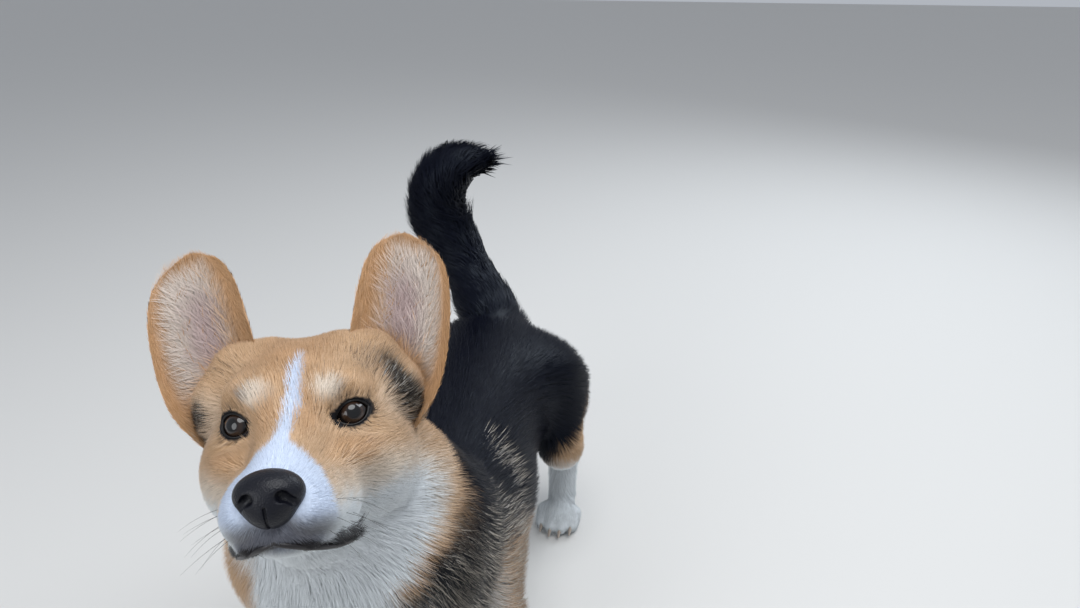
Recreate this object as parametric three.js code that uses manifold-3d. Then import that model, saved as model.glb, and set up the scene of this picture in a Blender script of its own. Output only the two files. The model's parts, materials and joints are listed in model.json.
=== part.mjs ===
// A Pembroke Welsh corgi at life size, standing with its head turned up and its tail raised.
// Millimetres, +Z up. The dog faces -Y and +X is its left side. The floor is z = 0.
import * as THREE from 'three';
import { LoftGeometry } from 'three/addons/geometries/LoftGeometry.js';
import { mergeVertices } from 'three/addons/utils/BufferGeometryUtils.js';
import Module from 'manifold-3d';

const wasm = await Module();
wasm.setup();

// Driving dimensions of the whole dog, over the coat
const withersHeight = 292;
const chestHalfWidth = 98;
const loinHalfWidth = 80;
const rumpHalfWidth = 92;
const brisketHeight = 102;
const bellyHeight = 130;
const foreStance = 50;
const hindStance = 74;
const gap = 0.3;
const blendBody = 26;
const blendFace = 12;
const blendLimb = 14;

// The head: where it sits, how it is turned, and its size against the sizes below
const headAt = new THREE.Vector3(-8.8, -85.6, 415.2);
const headTurn = { lean: 17.3, pitch: -27.1, roll: -3.5 };
const headScale = 1.0375;

// Small helpers for points and turns
const v3 = (x, y, z) => new THREE.Vector3(x, y, z);
const rad = THREE.MathUtils.degToRad;
const lerp = THREE.MathUtils.lerp;

// Rounded forms, each a signed distance that is negative inside
function ball(at, half) {
  const centre = v3(...at);
  const radii = v3(...half);
  const p = new THREE.Vector3();
  return (point) => {
    p.subVectors(point, centre).divide(radii);
    const reach = p.length();
    const slope = p.divide(radii).length();
    return slope < 1e-9 ? -Math.min(...half) : (reach * (reach - 1)) / slope;
  };
}

function bone(from, to, fromRadius, toRadius) {
  const start = v3(...from);
  const span = v3(...to).sub(start);
  const spanSq = span.lengthSq();
  const p = new THREE.Vector3();
  return (point) => {
    p.subVectors(point, start);
    const t = THREE.MathUtils.clamp(p.dot(span) / spanSq, 0, 1);
    return p.addScaledVector(span, -t).length() - lerp(fromRadius, toRadius, t);
  };
}

function blend(width, ...forms) {
  return (point) => {
    let near = Infinity;
    for (const form of forms) {
      const next = form(point);
      const mix = Math.max(width - Math.abs(near - next), 0) / width;
      near = Math.min(near, next) - (mix * mix * width) / 4;
    }
    return near;
  };
}

// A form joined to a wider one by a blend, and kept to the blend's reach round its own surface
function joined(width, own, wider) {
  const both = blend(width, own, wider);
  return (point) => Math.max(both(point), own(point) - width);
}

// Both sides of a pair of forms, given on the left
function pair(make) {
  return [make(1), make(-1)];
}

// How far a ray runs inside a form, from a point within it
const rayStep = 0.5;
const rayHalvings = 18;
function reachOf(form, from, way, grow, limit) {
  const p = new THREE.Vector3();
  const depth = (t) => form(p.copy(from).addScaledVector(way, t)) - grow;
  let inside = 0;
  let t = rayStep;
  while (t < limit) {
    const d = depth(t);
    if (d > 0) break;
    inside = t;
    t += Math.max(0.8 * -d, rayStep);
  }
  if (t >= limit && depth(limit) <= 0) return limit;
  let outside = Math.min(t, limit);
  for (let i = 0; i < rayHalvings; i++) {
    const middle = (inside + outside) / 2;
    if (depth(middle) > 0) outside = middle;
    else inside = middle;
  }
  return inside;
}

// A closed skin over a form: rings look out from a spine, and fan over each end
const endTilts = [90, 66, 42, 20];
const sideways = v3(1, 0, 0);
function skinOver(form, spine, { sides, rings, grow = 0, limit = 400, tilts = endTilts }) {
  const curve = new THREE.CatmullRomCurve3(spine.map((p) => v3(...p)));
  const stations = [];
  for (const tilt of tilts) stations.push({ t: 0, tilt: -tilt });
  for (let i = 0; i <= rings; i++) stations.push({ t: i / rings, tilt: 0 });
  for (const tilt of [...tilts].reverse()) stations.push({ t: 1, tilt });
  const sections = stations.map(({ t, tilt }) => {
    const at = curve.getPointAt(t);
    const along = curve.getTangentAt(t);
    const u = sideways.clone().addScaledVector(along, -sideways.dot(along)).normalize();
    const v = along.clone().cross(u);
    const ring = [];
    for (let k = 0; k < sides; k++) {
      const turn = (2 * Math.PI * k) / sides;
      const way = u.clone().multiplyScalar(Math.cos(turn) * Math.cos(rad(tilt)));
      way.addScaledVector(v, Math.sin(turn) * Math.cos(rad(tilt)));
      way.addScaledVector(along, Math.sin(rad(tilt)));
      ring.push(at.clone().addScaledVector(way, reachOf(form, at, way, grow, limit)));
    }
    return ring;
  });
  return new LoftGeometry(sections, { closed: true });
}

// Between three.js geometry and closed solids
function solid(geometry) {
  const bare = new THREE.BufferGeometry().copy(geometry);
  bare.deleteAttribute('normal');
  bare.deleteAttribute('uv');
  const merged = mergeVertices(bare, 1e-4);
  const vertProperties = new Float32Array(merged.attributes.position.array);
  const index = merged.index.array;
  const corners = [];
  for (let i = 0; i < index.length; i += 3) {
    const [a, b, c] = index.slice(i, i + 3);
    if (a !== b && b !== c && c !== a) corners.push(a, b, c);
  }
  const triVerts = new Uint32Array(corners);
  return new wasm.Manifold(new wasm.Mesh({ numProp: 3, vertProperties, triVerts }));
}

function largest(body) {
  return body.decompose().sort((a, b) => b.volume() - a.volume())[0];
}

// Seeded draws, so that every build grows the same locks
let seed = 20;
function draw(low, high) {
  seed = (seed * 1664525 + 1013904223) % 4294967296;
  return lerp(low, high, seed / 4294967296);
}

// The way out of a form at a point
function wayOut(form, point) {
  const slope = [v3(1, 0, 0), v3(0, 1, 0), v3(0, 0, 1)].map(
    (axis) => form(point.clone().add(axis)) - form(point.clone().sub(axis)),
  );
  return v3(...slope).normalize();
}

// A flat tapered lock: rooted inside a form, bent over it along the lie, its tip at the form's surface
const lockWidths = [0.55, 1, 0.72, 0.14];
const lockRidges = [0.9, 1, 0.7, 0.15];
function lock(form, start, lie, { length, width, thick, levels }, grow = 0) {
  const at = start.clone();
  const last = levels.length - 1;
  const sections = levels.map((level, i) => {
    const out = wayOut(form, at);
    const along = lie(at).addScaledVector(out, -lie(at).dot(out)).normalize();
    if (i > 0) at.addScaledVector(along, length / last);
    const lifted = wayOut(form, at);
    at.addScaledVector(lifted, level - form(at));
    const side = lifted.clone().cross(along).normalize();
    const half = (width * lockWidths[i]) / 2 + 2 * grow;
    const base = at.clone().addScaledVector(lifted, -grow);
    base.addScaledVector(along, i === last ? 2 * grow : i === 0 ? -grow : 0);
    return [
      base.clone().addScaledVector(side, half),
      base.clone().addScaledVector(lifted, thick * lockRidges[i] + 2 * grow),
      base.clone().addScaledVector(side, -half),
    ];
  });
  return solid(new LoftGeometry(sections, { closed: true, capStart: true, capEnd: true }));
}

// One lock's own size, drawn about the named one
function varied(named) {
  return { ...named, length: named.length * draw(0.85, 1.15), width: named.width * draw(0.85, 1.1) };
}

function geometryOf(body) {
  const mesh = body.getMesh();
  const geometry = new THREE.BufferGeometry();
  geometry.setAttribute('position', new THREE.BufferAttribute(mesh.vertProperties, 3));
  geometry.setIndex(new THREE.BufferAttribute(mesh.triVerts, 1));
  geometry.computeVertexNormals();
  return geometry;
}

function moved(geometry, matrix) {
  return new THREE.BufferGeometry().copy(geometry).applyMatrix4(matrix);
}

const dog = new THREE.Group();
function add(name, body, look) {
  const material = new THREE.MeshStandardMaterial({ metalness: 0, flatShading: true, ...look });
  const mesh = new THREE.Mesh(geometryOf(largest(body)), material);
  mesh.name = name;
  dog.add(mesh);
}

// The coat's colours, and those of the bare parts
const black = { color: 0x17181c, roughness: 0.75 };
const tan = { color: 0xb9824e, roughness: 0.85 };
const cream = { color: 0xe9dfd0, roughness: 0.85 };
const leather = { color: 0x1b191b, roughness: 0.45 };
const wetEye = { color: 0x2a1a12, roughness: 0.08 };
const horn = { color: 0x8d7c6b, roughness: 0.5 };

// The trunk, from the forechest to the croup
const backDrop = 8;
const ribCage = {
  at: [0, 46, (withersHeight + brisketHeight) / 2 - 2],
  half: [chestHalfWidth, 124, (withersHeight - brisketHeight) / 2 - 2],
};
const forechest = { at: [0, -30, 200], half: [80, 66, 82], coreHalf: [74, 56, 74] };
const withers = { from: [0, -2, 228], to: [0, 96, 222], radius: 64 };
const loinRadius = (withersHeight - backDrop - bellyHeight) / 2;
const loin = { from: [0, 140, bellyHeight + loinRadius], to: [0, 270, bellyHeight + loinRadius] };
const rump = { at: [0, 326, 213], half: [rumpHalfWidth, 76, 73] };
const trunkForm = blend(
  blendBody,
  ball(ribCage.at, ribCage.half),
  ball(forechest.at, forechest.coreHalf),
  bone(withers.from, withers.to, withers.radius, withers.radius),
  bone(loin.from, loin.to, loinHalfWidth - 2, loinHalfWidth - 3),
  ball(rump.at, rump.half),
);
const trunkSpine = [[0, -52, 205], [0, 40, 198], [0, 180, 206], [0, 350, 214]];
const trunkMesh = { sides: 24, rings: 11, tilts: [90, 60, 28] };
const trunk = solid(skinOver(trunkForm, trunkSpine, trunkMesh));
const trunkRoom = solid(skinOver(trunkForm, trunkSpine, { ...trunkMesh, grow: gap }));

// The floor that the four feet stand on, as a block to cut them flat
const floorSize = 2000;
const floor = solid(new THREE.BoxGeometry(floorSize, floorSize, floorSize).translate(0, 0, -floorSize / 2));

// Toes: a row of rounded forms across the front of a foot, the middle two furthest forward
const toeRadius = 8.5;
const toeSpread = 12;
const toeBack = 7;
const toePlaces = [-1.5, -0.5, 0.5, 1.5];
function toeAt([x, y], reach, place) {
  const outer = Math.abs(place) > 1;
  return [x + place * toeSpread, y - reach + (outer ? toeBack : 0), toeRadius];
}

// A foot: instep, toes and claws
const instep = { forward: 6, height: 15, half: [22, 26, 19] };
const knuckle = { height: 16, radius: 10.5 };
const toeBlend = 5;
const footMesh = { sides: 17, rings: 3, tilts: [90, 56, 24] };
const claw = { length: 10, drop: 4.5, radii: [2.8, 0.9], sunk: 3, above: 2 };
function foot(name, heel, reach, room) {
  const ends = toePlaces.map((place) => toeAt(heel, reach, place));
  const form = blend(
    toeBlend,
    ball([heel[0], heel[1] - instep.forward, instep.height], instep.half),
    ...ends.map((end) => {
      const back = [end[0], end[1] + reach / 2, knuckle.height];
      return bone(back, end, knuckle.radius, toeRadius);
    }),
  );
  const spine = [[heel[0], heel[1] + 4, knuckle.height], [heel[0], heel[1] - reach + 4, toeRadius + 1]];
  add(name, solid(skinOver(form, spine, footMesh)).subtract(room).subtract(floor), cream);
  const pawRoom = solid(skinOver(form, spine, { ...footMesh, grow: gap }));
  ends.forEach(([x, y, z], i) => {
    const root = [x, y - toeRadius + claw.sunk, z + claw.above];
    const tip = [x, root[1] - claw.length, root[2] - claw.drop];
    const horned = skinOver(bone(root, tip, ...claw.radii), [root, tip], { sides: 4, rings: 1, tilts: [90] });
    add(`${name}_claw_${i + 1}`, solid(horned).subtract(pawRoom), horn);
  });
}

// The forelegs: shoulder, short forearm and pastern
const elbow = [72, 22, 152];
const forearm = [62, 10, 98];
const carpus = [foreStance + 2, -4, 52];
const forePastern = [foreStance, -14, 26];
const foreRadii = [38, 31, 22, 20];
const forePaw = { heel: [foreStance, -20], reach: 30 };
const limbMesh = { sides: 14, rings: 7, limit: 44, tilts: [90, 45] };
const shoulderBlend = 20;
const legRooms = [];
function roomy(mesh) {
  return { ...mesh, grow: gap, limit: mesh.limit + gap };
}
function chain(points, radii) {
  return points.slice(1).map((point, i) => bone(points[i], point, radii[i], radii[i + 1]));
}
function foreLeg(side, name) {
  const at = ([x, y, z]) => [side * x, y, z];
  const spine = [elbow, forearm, carpus, forePastern].map(at);
  const form = blend(shoulderBlend, blend(blendLimb, ...chain(spine, foreRadii)), trunkForm);
  add(`${name}_foreleg`, solid(skinOver(form, spine, limbMesh)).subtract(trunkRoom), tan);
  const legRoom = solid(skinOver(form, spine, roomy(limbMesh)));
  legRooms.push(legRoom);
  foot(`${name}_forepaw`, at([...forePaw.heel, 0]), forePaw.reach, legRoom);
}

// The hind legs: thigh, second thigh, hock and rear pastern
const hip = [56, 334, 205];
const stifle = [86, 280, 150];
const thighRadii = [58, 38];
const thighSpine = [[66, 328, 212], [74, 318, 176], [82, 308, 140]];
const thighMesh = { sides: 18, rings: 4, limit: 100, tilts: [90, 60, 28] };
const thighBlend = 24;
const shankTop = [83, 292, 138];
const shankSpine = [[83, 296, 132], [79, 340, 110], [73, 378, 78]];
const shankRadii = { upper: [40, 23], lower: [22, 19] };
const shankBlend = 10;
const hock = [hindStance - 2, 384, 82];
const rearPastern = [hindStance, 368, 28];
const hindPaw = { heel: [hindStance, 356], reach: 30 };
const breeches = { at: [70, 346, 168], half: [36, 48, 66], coreHalf: [30, 31, 48], rows: 3, columns: 4 };
const breechAxis = [64, 336];
const breechSwing = [-28, 112];
const breechHeights = [0.7, -0.6];
const breechLock = { length: 60, width: 33, thick: 5.5, levels: [-20, -6, -1, 1] };
const thighRooms = [];
const trunkInset = 4;
const trunkInside = (point) => trunkForm(point) + trunkInset;
function hindLeg(side, name) {
  const at = ([x, y, z]) => [side * x, y, z];
  const muscle = bone(at(hip), at(stifle), ...thighRadii);
  const over = (half) => joined(thighBlend, blend(thighBlend, muscle, ball(at(breeches.at), half)), trunkInside);
  const thighForm = over(breeches.half);
  const thighCore = over(breeches.coreHalf);
  const topSpine = thighSpine.map(at);
  thighRooms.push(solid(skinOver(thighForm, topSpine, roomy(thighMesh))));
  const shank = blend(
    shankBlend,
    bone(at(shankTop), at(hock), ...shankRadii.upper),
    bone(at(hock), at(rearPastern), ...shankRadii.lower),
  );
  const lowSpine = [...shankSpine, rearPastern].map(at);
  const coreRoom = solid(skinOver(thighCore, topSpine, roomy(thighMesh)));
  const shin = solid(skinOver(shank, lowSpine, limbMesh)).subtract(coreRoom).subtract(trunkRoom);
  add(`${name}_shank`, shin, tan);
  const shankRoom = solid(skinOver(shank, lowSpine, roomy(limbMesh)));
  let thigh = solid(skinOver(thighCore, topSpine, thighMesh));
  const down = () => v3(side * 0.1, 0.35, -1);
  for (let row = 0; row < breeches.rows; row++) {
    for (let column = 0; column < breeches.columns; column++) {
      const across = (column + (row % 2) / 2 + draw(-0.2, 0.2)) / breeches.columns;
      const turn = rad(lerp(...breechSwing, across));
      const level = lerp(...breechHeights, (row + draw(-0.15, 0.15)) / (breeches.rows - 1));
      const from = v3(side * breechAxis[0], breechAxis[1], breeches.at[2] + breeches.half[2] * level);
      const way = v3(side * Math.sin(turn), Math.cos(turn), 0);
      const reach = reachOf(thighForm, from, way, breechLock.levels[0], thighMesh.limit);
      const start = from.addScaledVector(way, reach);
      thigh = thigh.add(lock(thighForm, start, down, varied(breechLock)).subtract(shankRoom));
    }
  }
  add(`${name}_thigh`, thigh.subtract(trunkRoom), black);
  foot(`${name}_hindpaw`, at([...hindPaw.heel, 0]), hindPaw.reach, shankRoom);
}
for (const [side, name] of [[1, 'left'], [-1, 'right']]) {
  foreLeg(side, name);
  hindLeg(side, name);
}

// The head's own frame: x to its left, y back, z up, the origin between the eyes
const headTurned = new THREE.Euler(rad(headTurn.pitch), rad(headTurn.roll), rad(headTurn.lean), 'ZXY');
const headFrame = new THREE.Matrix4().makeRotationFromEuler(headTurned);
headFrame.scale(v3(headScale, headScale, headScale)).setPosition(headAt);
const headInverse = headFrame.clone().invert();
const onHead = (geometry) => solid(moved(geometry, headFrame));
const headPoint = new THREE.Vector3();
function worn(form) {
  return (point) => headScale * form(headPoint.copy(point).applyMatrix4(headInverse));
}

// The skull, muzzle and cheeks, in the head's frame
const cranium = { at: [0, 52, 2], half: [56, 66, 48] };
const brow = { at: [22, 8, 13], half: [23, 23, 18] };
const cheek = { at: [36, 36, -32], half: [33, 48, 40] };
const cheekBone = { at: [32, 4, -24], half: [20, 26, 18] };
const bridge = { from: [0, 4, -12], to: [0, -56, -32], radii: [25, 17] };
const lipPad = { at: [13, -52, -43], half: [18, 22, 19] };
const lipSide = { at: [20, -24, -46], half: [18, 34, 23] };
const throat = { at: [0, 38, -60], half: [38, 54, 36] };
const lipLine = [[3, -68, -55], [15, -60, -59], [25, -40, -63], [31, -18, -65]];
const lipRadius = 6;
const lips = pair((s) => {
  const line = lipLine.map(([x, y, z]) => [s * x, y, z]);
  return chain(line, line.map(() => lipRadius));
}).flat();
const onSide = (s, { at: [x, y, z], half }) => ball([s * x, y, z], half);
const flesh = blend(
  blendFace,
  ball(cranium.at, cranium.half),
  ball(throat.at, throat.half),
  bone(bridge.from, bridge.to, ...bridge.radii),
  ...[brow, cheek, cheekBone, lipPad, lipSide].flatMap((part) => pair((s) => onSide(s, part))),
);
const headForm = blend(lipRadius, flesh, ...lips);
const headSpine = [[0, 86, -8], [0, 30, -14], [0, -10, -28], [0, -54, -38]];
const headMesh = { sides: 30, rings: 13 };
const headSkin = skinOver(headForm, headSpine, headMesh);
const headRoomSkin = skinOver(headForm, headSpine, { ...headMesh, grow: gap });

// Eyes: balls set back in a dish under the brow, behind lids with an almond opening
const eyeRadius = 11.2;
const eyeAt = [31.5, 8.5, -1.5];
const gaze = [0.42, -0.88, 0.22];
const orbit = { ahead: 23.5, radius: 17.5 };
const lidDepth = 2.6;
const eyeOpening = { half: 10.4, upper: 7, lower: 5.6, depth: 30 };
let head = onHead(headSkin);
const headRoom = onHead(headRoomSkin);
function almond(s) {
  const outline = new THREE.Shape();
  outline.moveTo(-eyeOpening.half, 0);
  outline.quadraticCurveTo(0, -2 * eyeOpening.lower, eyeOpening.half, 0);
  outline.quadraticCurveTo(0, 2 * eyeOpening.upper, -eyeOpening.half, 0);
  const size = { depth: eyeOpening.depth, bevelEnabled: false, curveSegments: 6 };
  const cut = new THREE.ExtrudeGeometry(outline, size);
  const face = new THREE.Matrix4().lookAt(v3(s * gaze[0], gaze[1], gaze[2]), v3(0, 0, 0), v3(0, 0, 1));
  return cut.applyMatrix4(face).translate(s * eyeAt[0], eyeAt[1], eyeAt[2]);
}
const sphereOn = (s, radius, ahead = 0) => {
  const [x, y, z] = eyeAt.map((value, i) => value + ahead * gaze[i]);
  return new THREE.SphereGeometry(radius, 14, 8).translate(s * x, y, z);
};
for (const s of [1, -1]) {
  head = head.subtract(onHead(sphereOn(s, orbit.radius, orbit.ahead)));
  head = head.add(onHead(sphereOn(s, eyeRadius + lidDepth)));
  head = head.subtract(onHead(almond(s))).subtract(onHead(sphereOn(s, eyeRadius + gap)));
}

// A ring of points about a centre
function ringOf(at, u, v, radius, sides) {
  return Array.from({ length: sides }, (_, k) => {
    const turn = (2 * Math.PI * k) / sides;
    const point = at.clone().addScaledVector(u, radius * Math.cos(turn));
    return point.addScaledVector(v, radius * Math.sin(turn));
  });
}

// A round cord along a path, to cut the nostrils
function roll(path, radii, sides, rings) {
  const curve = new THREE.CatmullRomCurve3(path.map((p) => v3(...p)));
  const sections = [];
  for (let i = -1; i <= rings + 1; i++) {
    const t = THREE.MathUtils.clamp(i / rings, 0, 1);
    const end = i < 0 || i > rings;
    const radius = end ? 0 : lerp(radii[0], radii[1], t);
    const at = curve.getPoint(t);
    const along = curve.getTangent(t);
    if (end) at.addScaledVector(along, 0.6 * (i < 0 ? -radii[0] : radii[1]));
    const u = v3(0, 0, 1).addScaledVector(along, -along.z).normalize();
    sections.push(ringOf(at, u, along.clone().cross(u), radius, sides));
  }
  return new LoftGeometry(sections, { closed: true });
}

// The nose leather and its nostrils
const nosePad = { at: [0, -71, -31], half: [20.5, 14, 14] };
const noseFoot = { at: [0, -70, -42], half: [12, 12, 10] };
const noseForm = blend(8, ball(nosePad.at, nosePad.half), ball(noseFoot.at, noseFoot.half));
const noseSpine = [[0, -66, -34], [0, -74, -34]];
const noseMesh = { sides: 18, rings: 2, tilts: [90, 60, 30] };
const nostril = [[6.5, -92, -32], [9.5, -80, -33], [15, -78, -38], [22, -74, -41]];
const nostrilRadii = [4.2, 1.6];
let nose = onHead(skinOver(noseForm, noseSpine, noseMesh)).subtract(headRoom);
for (const s of [1, -1]) {
  const path = nostril.map(([x, y, z]) => [s * x, y, z]);
  nose = nose.subtract(onHead(roll(path, nostrilRadii, 7, 3)));
}

// The lower jaw under the lips
const chin = { at: [0, -46, -59], half: [16, 15, 11] };
const jawFloor = { at: [0, -8, -62], half: [24, 40, 13] };
const jawBone = { from: [22, 16, -60], to: [8, -44, -58], radii: [14, 10] };
const jawForm = blend(
  8,
  ball(chin.at, chin.half),
  ball(jawFloor.at, jawFloor.half),
  ...pair((s) => {
    const [from, to] = [jawBone.from, jawBone.to].map(([x, y, z]) => [s * x, y, z]);
    return bone(from, to, ...jawBone.radii);
  }),
);
const jawSpine = [[0, 14, -62], [0, -44, -59]];
const jawMesh = { sides: 20, rings: 6 };
const jaw = onHead(skinOver(jawForm, jawSpine, jawMesh)).subtract(headRoom);

// The ears: cupped shells between an inner and an outer edge
const earThick = 4.5;
const earInner = [[28, 42, 40], [31, 48, 64], [41, 55, 90], [56, 60, 108], [66, 61, 113]];
const earOuter = [[62, 32, -16], [84, 38, 16], [96, 47, 56], [91, 56, 92], [76, 61, 110]];
const earCup = [26, 24, 17, 8, 1];
const earRows = 9;
const earColumns = 6;
const earBack = v3(0.15, 0.98, 0.1);
function earSkin(s) {
  const inner = new THREE.CatmullRomCurve3(earInner.map(([x, y, z]) => v3(x, y, z)));
  const outer = new THREE.CatmullRomCurve3(earOuter.map(([x, y, z]) => v3(x, y, z)));
  const cup = new THREE.SplineCurve(earCup.map((depth, i) => new THREE.Vector2(i, depth)));
  const sections = [];
  for (let i = 0; i <= earRows; i++) {
    const t = i / earRows;
    const a = inner.getPoint(t);
    const b = outer.getPoint(t);
    const depth = cup.getPoint(t).y;
    const thick = earThick * (1 - 0.35 * t);
    const arc = (lift) => {
      const points = [];
      for (let k = 0; k <= earColumns; k++) {
        const w = k / earColumns;
        const round = 4 * w * (1 - w);
        const p = a.clone().lerp(b, w);
        const back = depth * round + lift * thick * (0.35 + 0.65 * Math.sqrt(round));
        p.addScaledVector(earBack, back);
        points.push(v3(s * p.x, p.y, p.z));
      }
      return points;
    };
    const ring = [...arc(0), ...arc(1).reverse()];
    sections.push(s > 0 ? ring : ring.reverse());
  }
  return new LoftGeometry(sections, { closed: true, capStart: true, capEnd: true });
}

// The head's nodes
add('head', head, tan);
add('nose', nose, leather);
add('lower_jaw', jaw, cream);
for (const [s, name] of [[1, 'left'], [-1, 'right']]) {
  add(`${name}_eye`, onHead(sphereOn(s, eyeRadius)), wetEye);
  add(`${name}_ear`, onHead(earSkin(s)).subtract(headRoom), tan);
}

// The neck, with its ruff
const neckPoints = [[0, 16, 222], [-6, -16, 284], [-14, -32, 330]];
const neckRadii = [98, 90, 76];
const crop = { at: [-8, -42, 262], half: [104, 66, 72] };
const neckBlend = 20;
const neckForm = blend(neckBlend, ...chain(neckPoints, neckRadii), ball(crop.at, crop.half));
const neckMesh = { sides: 22, rings: 5, tilts: [90, 60, 28] };
const ruffDepth = 17;
const ruffLock = { length: 62, width: 36, thick: 6, levels: [-ruffDepth - 7, -9, -2, 1] };
const ruffRows = [
  { t: 1, tilt: 20, count: 13 },
  { t: 0.8, tilt: 0, count: 14 },
  { t: 0.45, tilt: 0, count: 15 },
  { t: 0.12, tilt: 0, count: 15 },
  { t: 0, tilt: -22, count: 15, front: true },
];
const ruffLift = 5;
const ruffForm = blend(neckBlend, neckForm, (p) => trunkForm(p) - ruffLift);
const neckCurve = new THREE.CatmullRomCurve3(neckPoints.map((p) => v3(...p)));
const jawRoom = onHead(skinOver(jawForm, jawSpine, { ...jawMesh, grow: gap }));
let neck = solid(skinOver(neckForm, neckPoints, { ...neckMesh, grow: -ruffDepth }));
let neckRoom = solid(skinOver(neckForm, neckPoints, { ...neckMesh, grow: gap - ruffDepth }));
ruffRows.forEach(({ t, tilt, count, front }, row) => {
  const from = neckCurve.getPointAt(t);
  const along = neckCurve.getTangentAt(t);
  const u = v3(1, 0, 0).addScaledVector(along, -along.x).normalize();
  const v = along.clone().cross(u);
  const lie = () => along.clone().multiplyScalar(-1);
  for (let k = 0; k < count; k++) {
    const turn = (2 * Math.PI * (k + (row % 2) / 2 + draw(-0.15, 0.15))) / count;
    if (front && Math.sin(turn) > 0.1) continue;
    const way = u.clone().multiplyScalar(Math.cos(turn)).addScaledVector(v, Math.sin(turn));
    way.multiplyScalar(Math.cos(rad(tilt))).addScaledVector(along, Math.sin(rad(tilt)));
    const reach = reachOf(ruffForm, from, way, ruffLock.levels[0], 200);
    const size = varied(ruffLock);
    const start = from.clone().addScaledVector(way, reach);
    neck = neck.add(lock(ruffForm, start, lie, size));
    if (row > 2 && Math.sin(turn) < 0.2) neckRoom = neckRoom.add(lock(ruffForm, start, lie, size, gap));
  }
});
neck = neck.subtract(trunkRoom).subtract(headRoom).subtract(jawRoom);
for (const room of legRooms) neck = neck.subtract(room);
add('neck', neck, cream);

// The long hair of the forechest hangs below the ruff, and grows from the trunk
const bibRows = [
  { height: 188, count: 6, spread: 66 },
  { height: 160, count: 6, spread: 64 },
  { height: 130, count: 4, spread: 46 },
];
const bibLock = { length: 56, width: 40, thick: 6, levels: [-20, -4, 0, 2] };
const chest = blend(blendBody, ball(forechest.at, forechest.half), ball(ribCage.at, ribCage.half));
let bib = null;
bibRows.forEach(({ height, count, spread }, row) => {
  for (let k = 0; k < count; k++) {
    const swing = lerp(-spread, spread, (k + 0.5 + draw(-0.2, 0.2)) / count);
    const from = v3(0, -10, height + draw(-4, 4));
    const way = v3(Math.sin(rad(swing)), -Math.cos(rad(swing)), 0);
    const start = from.clone().addScaledVector(way, reachOf(chest, from, way, bibLock.levels[0], 200));
    const down = () => v3(0, 0.25, -1);
    const hair = lock(chest, start, down, varied(bibLock));
    bib = bib ? bib.add(hair) : hair;
  }
});
bib = bib.subtract(neckRoom);
for (const room of legRooms) bib = bib.subtract(room);
add('torso', trunk.add(bib), black);

// The tail, raised and curling over to the left at its tip
const tailPoints = [[-8, 376, 244], [-46, 400, 312], [-78, 400, 378], [-66, 390, 430], [-24, 380, 450]];
const tailRadii = [42, 42, 40, 34, 10];
const tailCurve = new THREE.CatmullRomCurve3(tailPoints.map((p) => v3(...p)));
const tailNames = ['tail_root', 'tail_middle', 'tail_tip'];
const tailCoreShare = 0.5;
const tailSides = 10;
const tailRings = 9;
const tailLock = { length: 62, width: 35, thick: 5.5, depths: [0.62, 0.2, 0.04, -0.02] };
const tailRows = [
  { t: 0.01, count: 6 },
  { t: 0.16, count: 6 },
  { t: 0.31, count: 6 },
  { t: 0.46, count: 6 },
  { t: 0.6, count: 6, share: 0.8 },
  { t: 0.74, count: 5, share: 0.7 },
  { t: 0.86, count: 4, share: 0.5 },
];
function tailRadius(t) {
  const place = THREE.MathUtils.clamp(t, 0, 1) * (tailRadii.length - 1);
  const low = Math.min(Math.floor(place), tailRadii.length - 2);
  return lerp(tailRadii[low], tailRadii[low + 1], place - low);
}
const tailForm = (() => {
  const bones = [];
  for (let i = 0; i < tailRings; i++) {
    const [from, to] = [i / tailRings, (i + 1) / tailRings];
    const ends = [from, to].map((t) => tailCurve.getPoint(t).toArray());
    bones.push(bone(...ends, tailRadius(from), tailRadius(to)));
  }
  return (p) => Math.min(...bones.map((form) => form(p)));
})();
const tailSteps = 40;
function tailAlong(point) {
  let best = 0;
  let near = Infinity;
  for (let i = 0; i <= tailSteps; i++) {
    const away = tailCurve.getPoint(i / tailSteps).distanceTo(point);
    if (away < near) [near, best] = [away, i / tailSteps];
  }
  return tailCurve.getTangent(best);
}
function tailFrame(t) {
  const along = tailCurve.getTangent(t);
  const u = v3(0, 1, 0).addScaledVector(along, -along.y).normalize();
  return { at: tailCurve.getPoint(t), along, u, v: along.clone().cross(u) };
}
const tailSections = [];
for (let i = 0; i <= tailRings; i++) {
  const { at, u, v } = tailFrame(i / tailRings);
  const radius = tailRadius(i / tailRings) * tailCoreShare;
  tailSections.push(ringOf(at, u, v, radius, tailSides));
}
const tailCore = solid(new LoftGeometry(tailSections, { closed: true, capStart: true, capEnd: true }));
const cutSize = 200;
function beyond(t, shift) {
  const { at, along } = tailFrame(t);
  const turned = new THREE.Quaternion().setFromUnitVectors(v3(0, 0, 1), along);
  const half = new THREE.BoxGeometry(cutSize, cutSize, cutSize).translate(0, 0, cutSize / 2);
  const place = new THREE.Matrix4().compose(at.addScaledVector(along, shift), turned, v3(1, 1, 1));
  return solid(moved(half, place));
}
let rooms = [trunkRoom, ...thighRooms];
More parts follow.
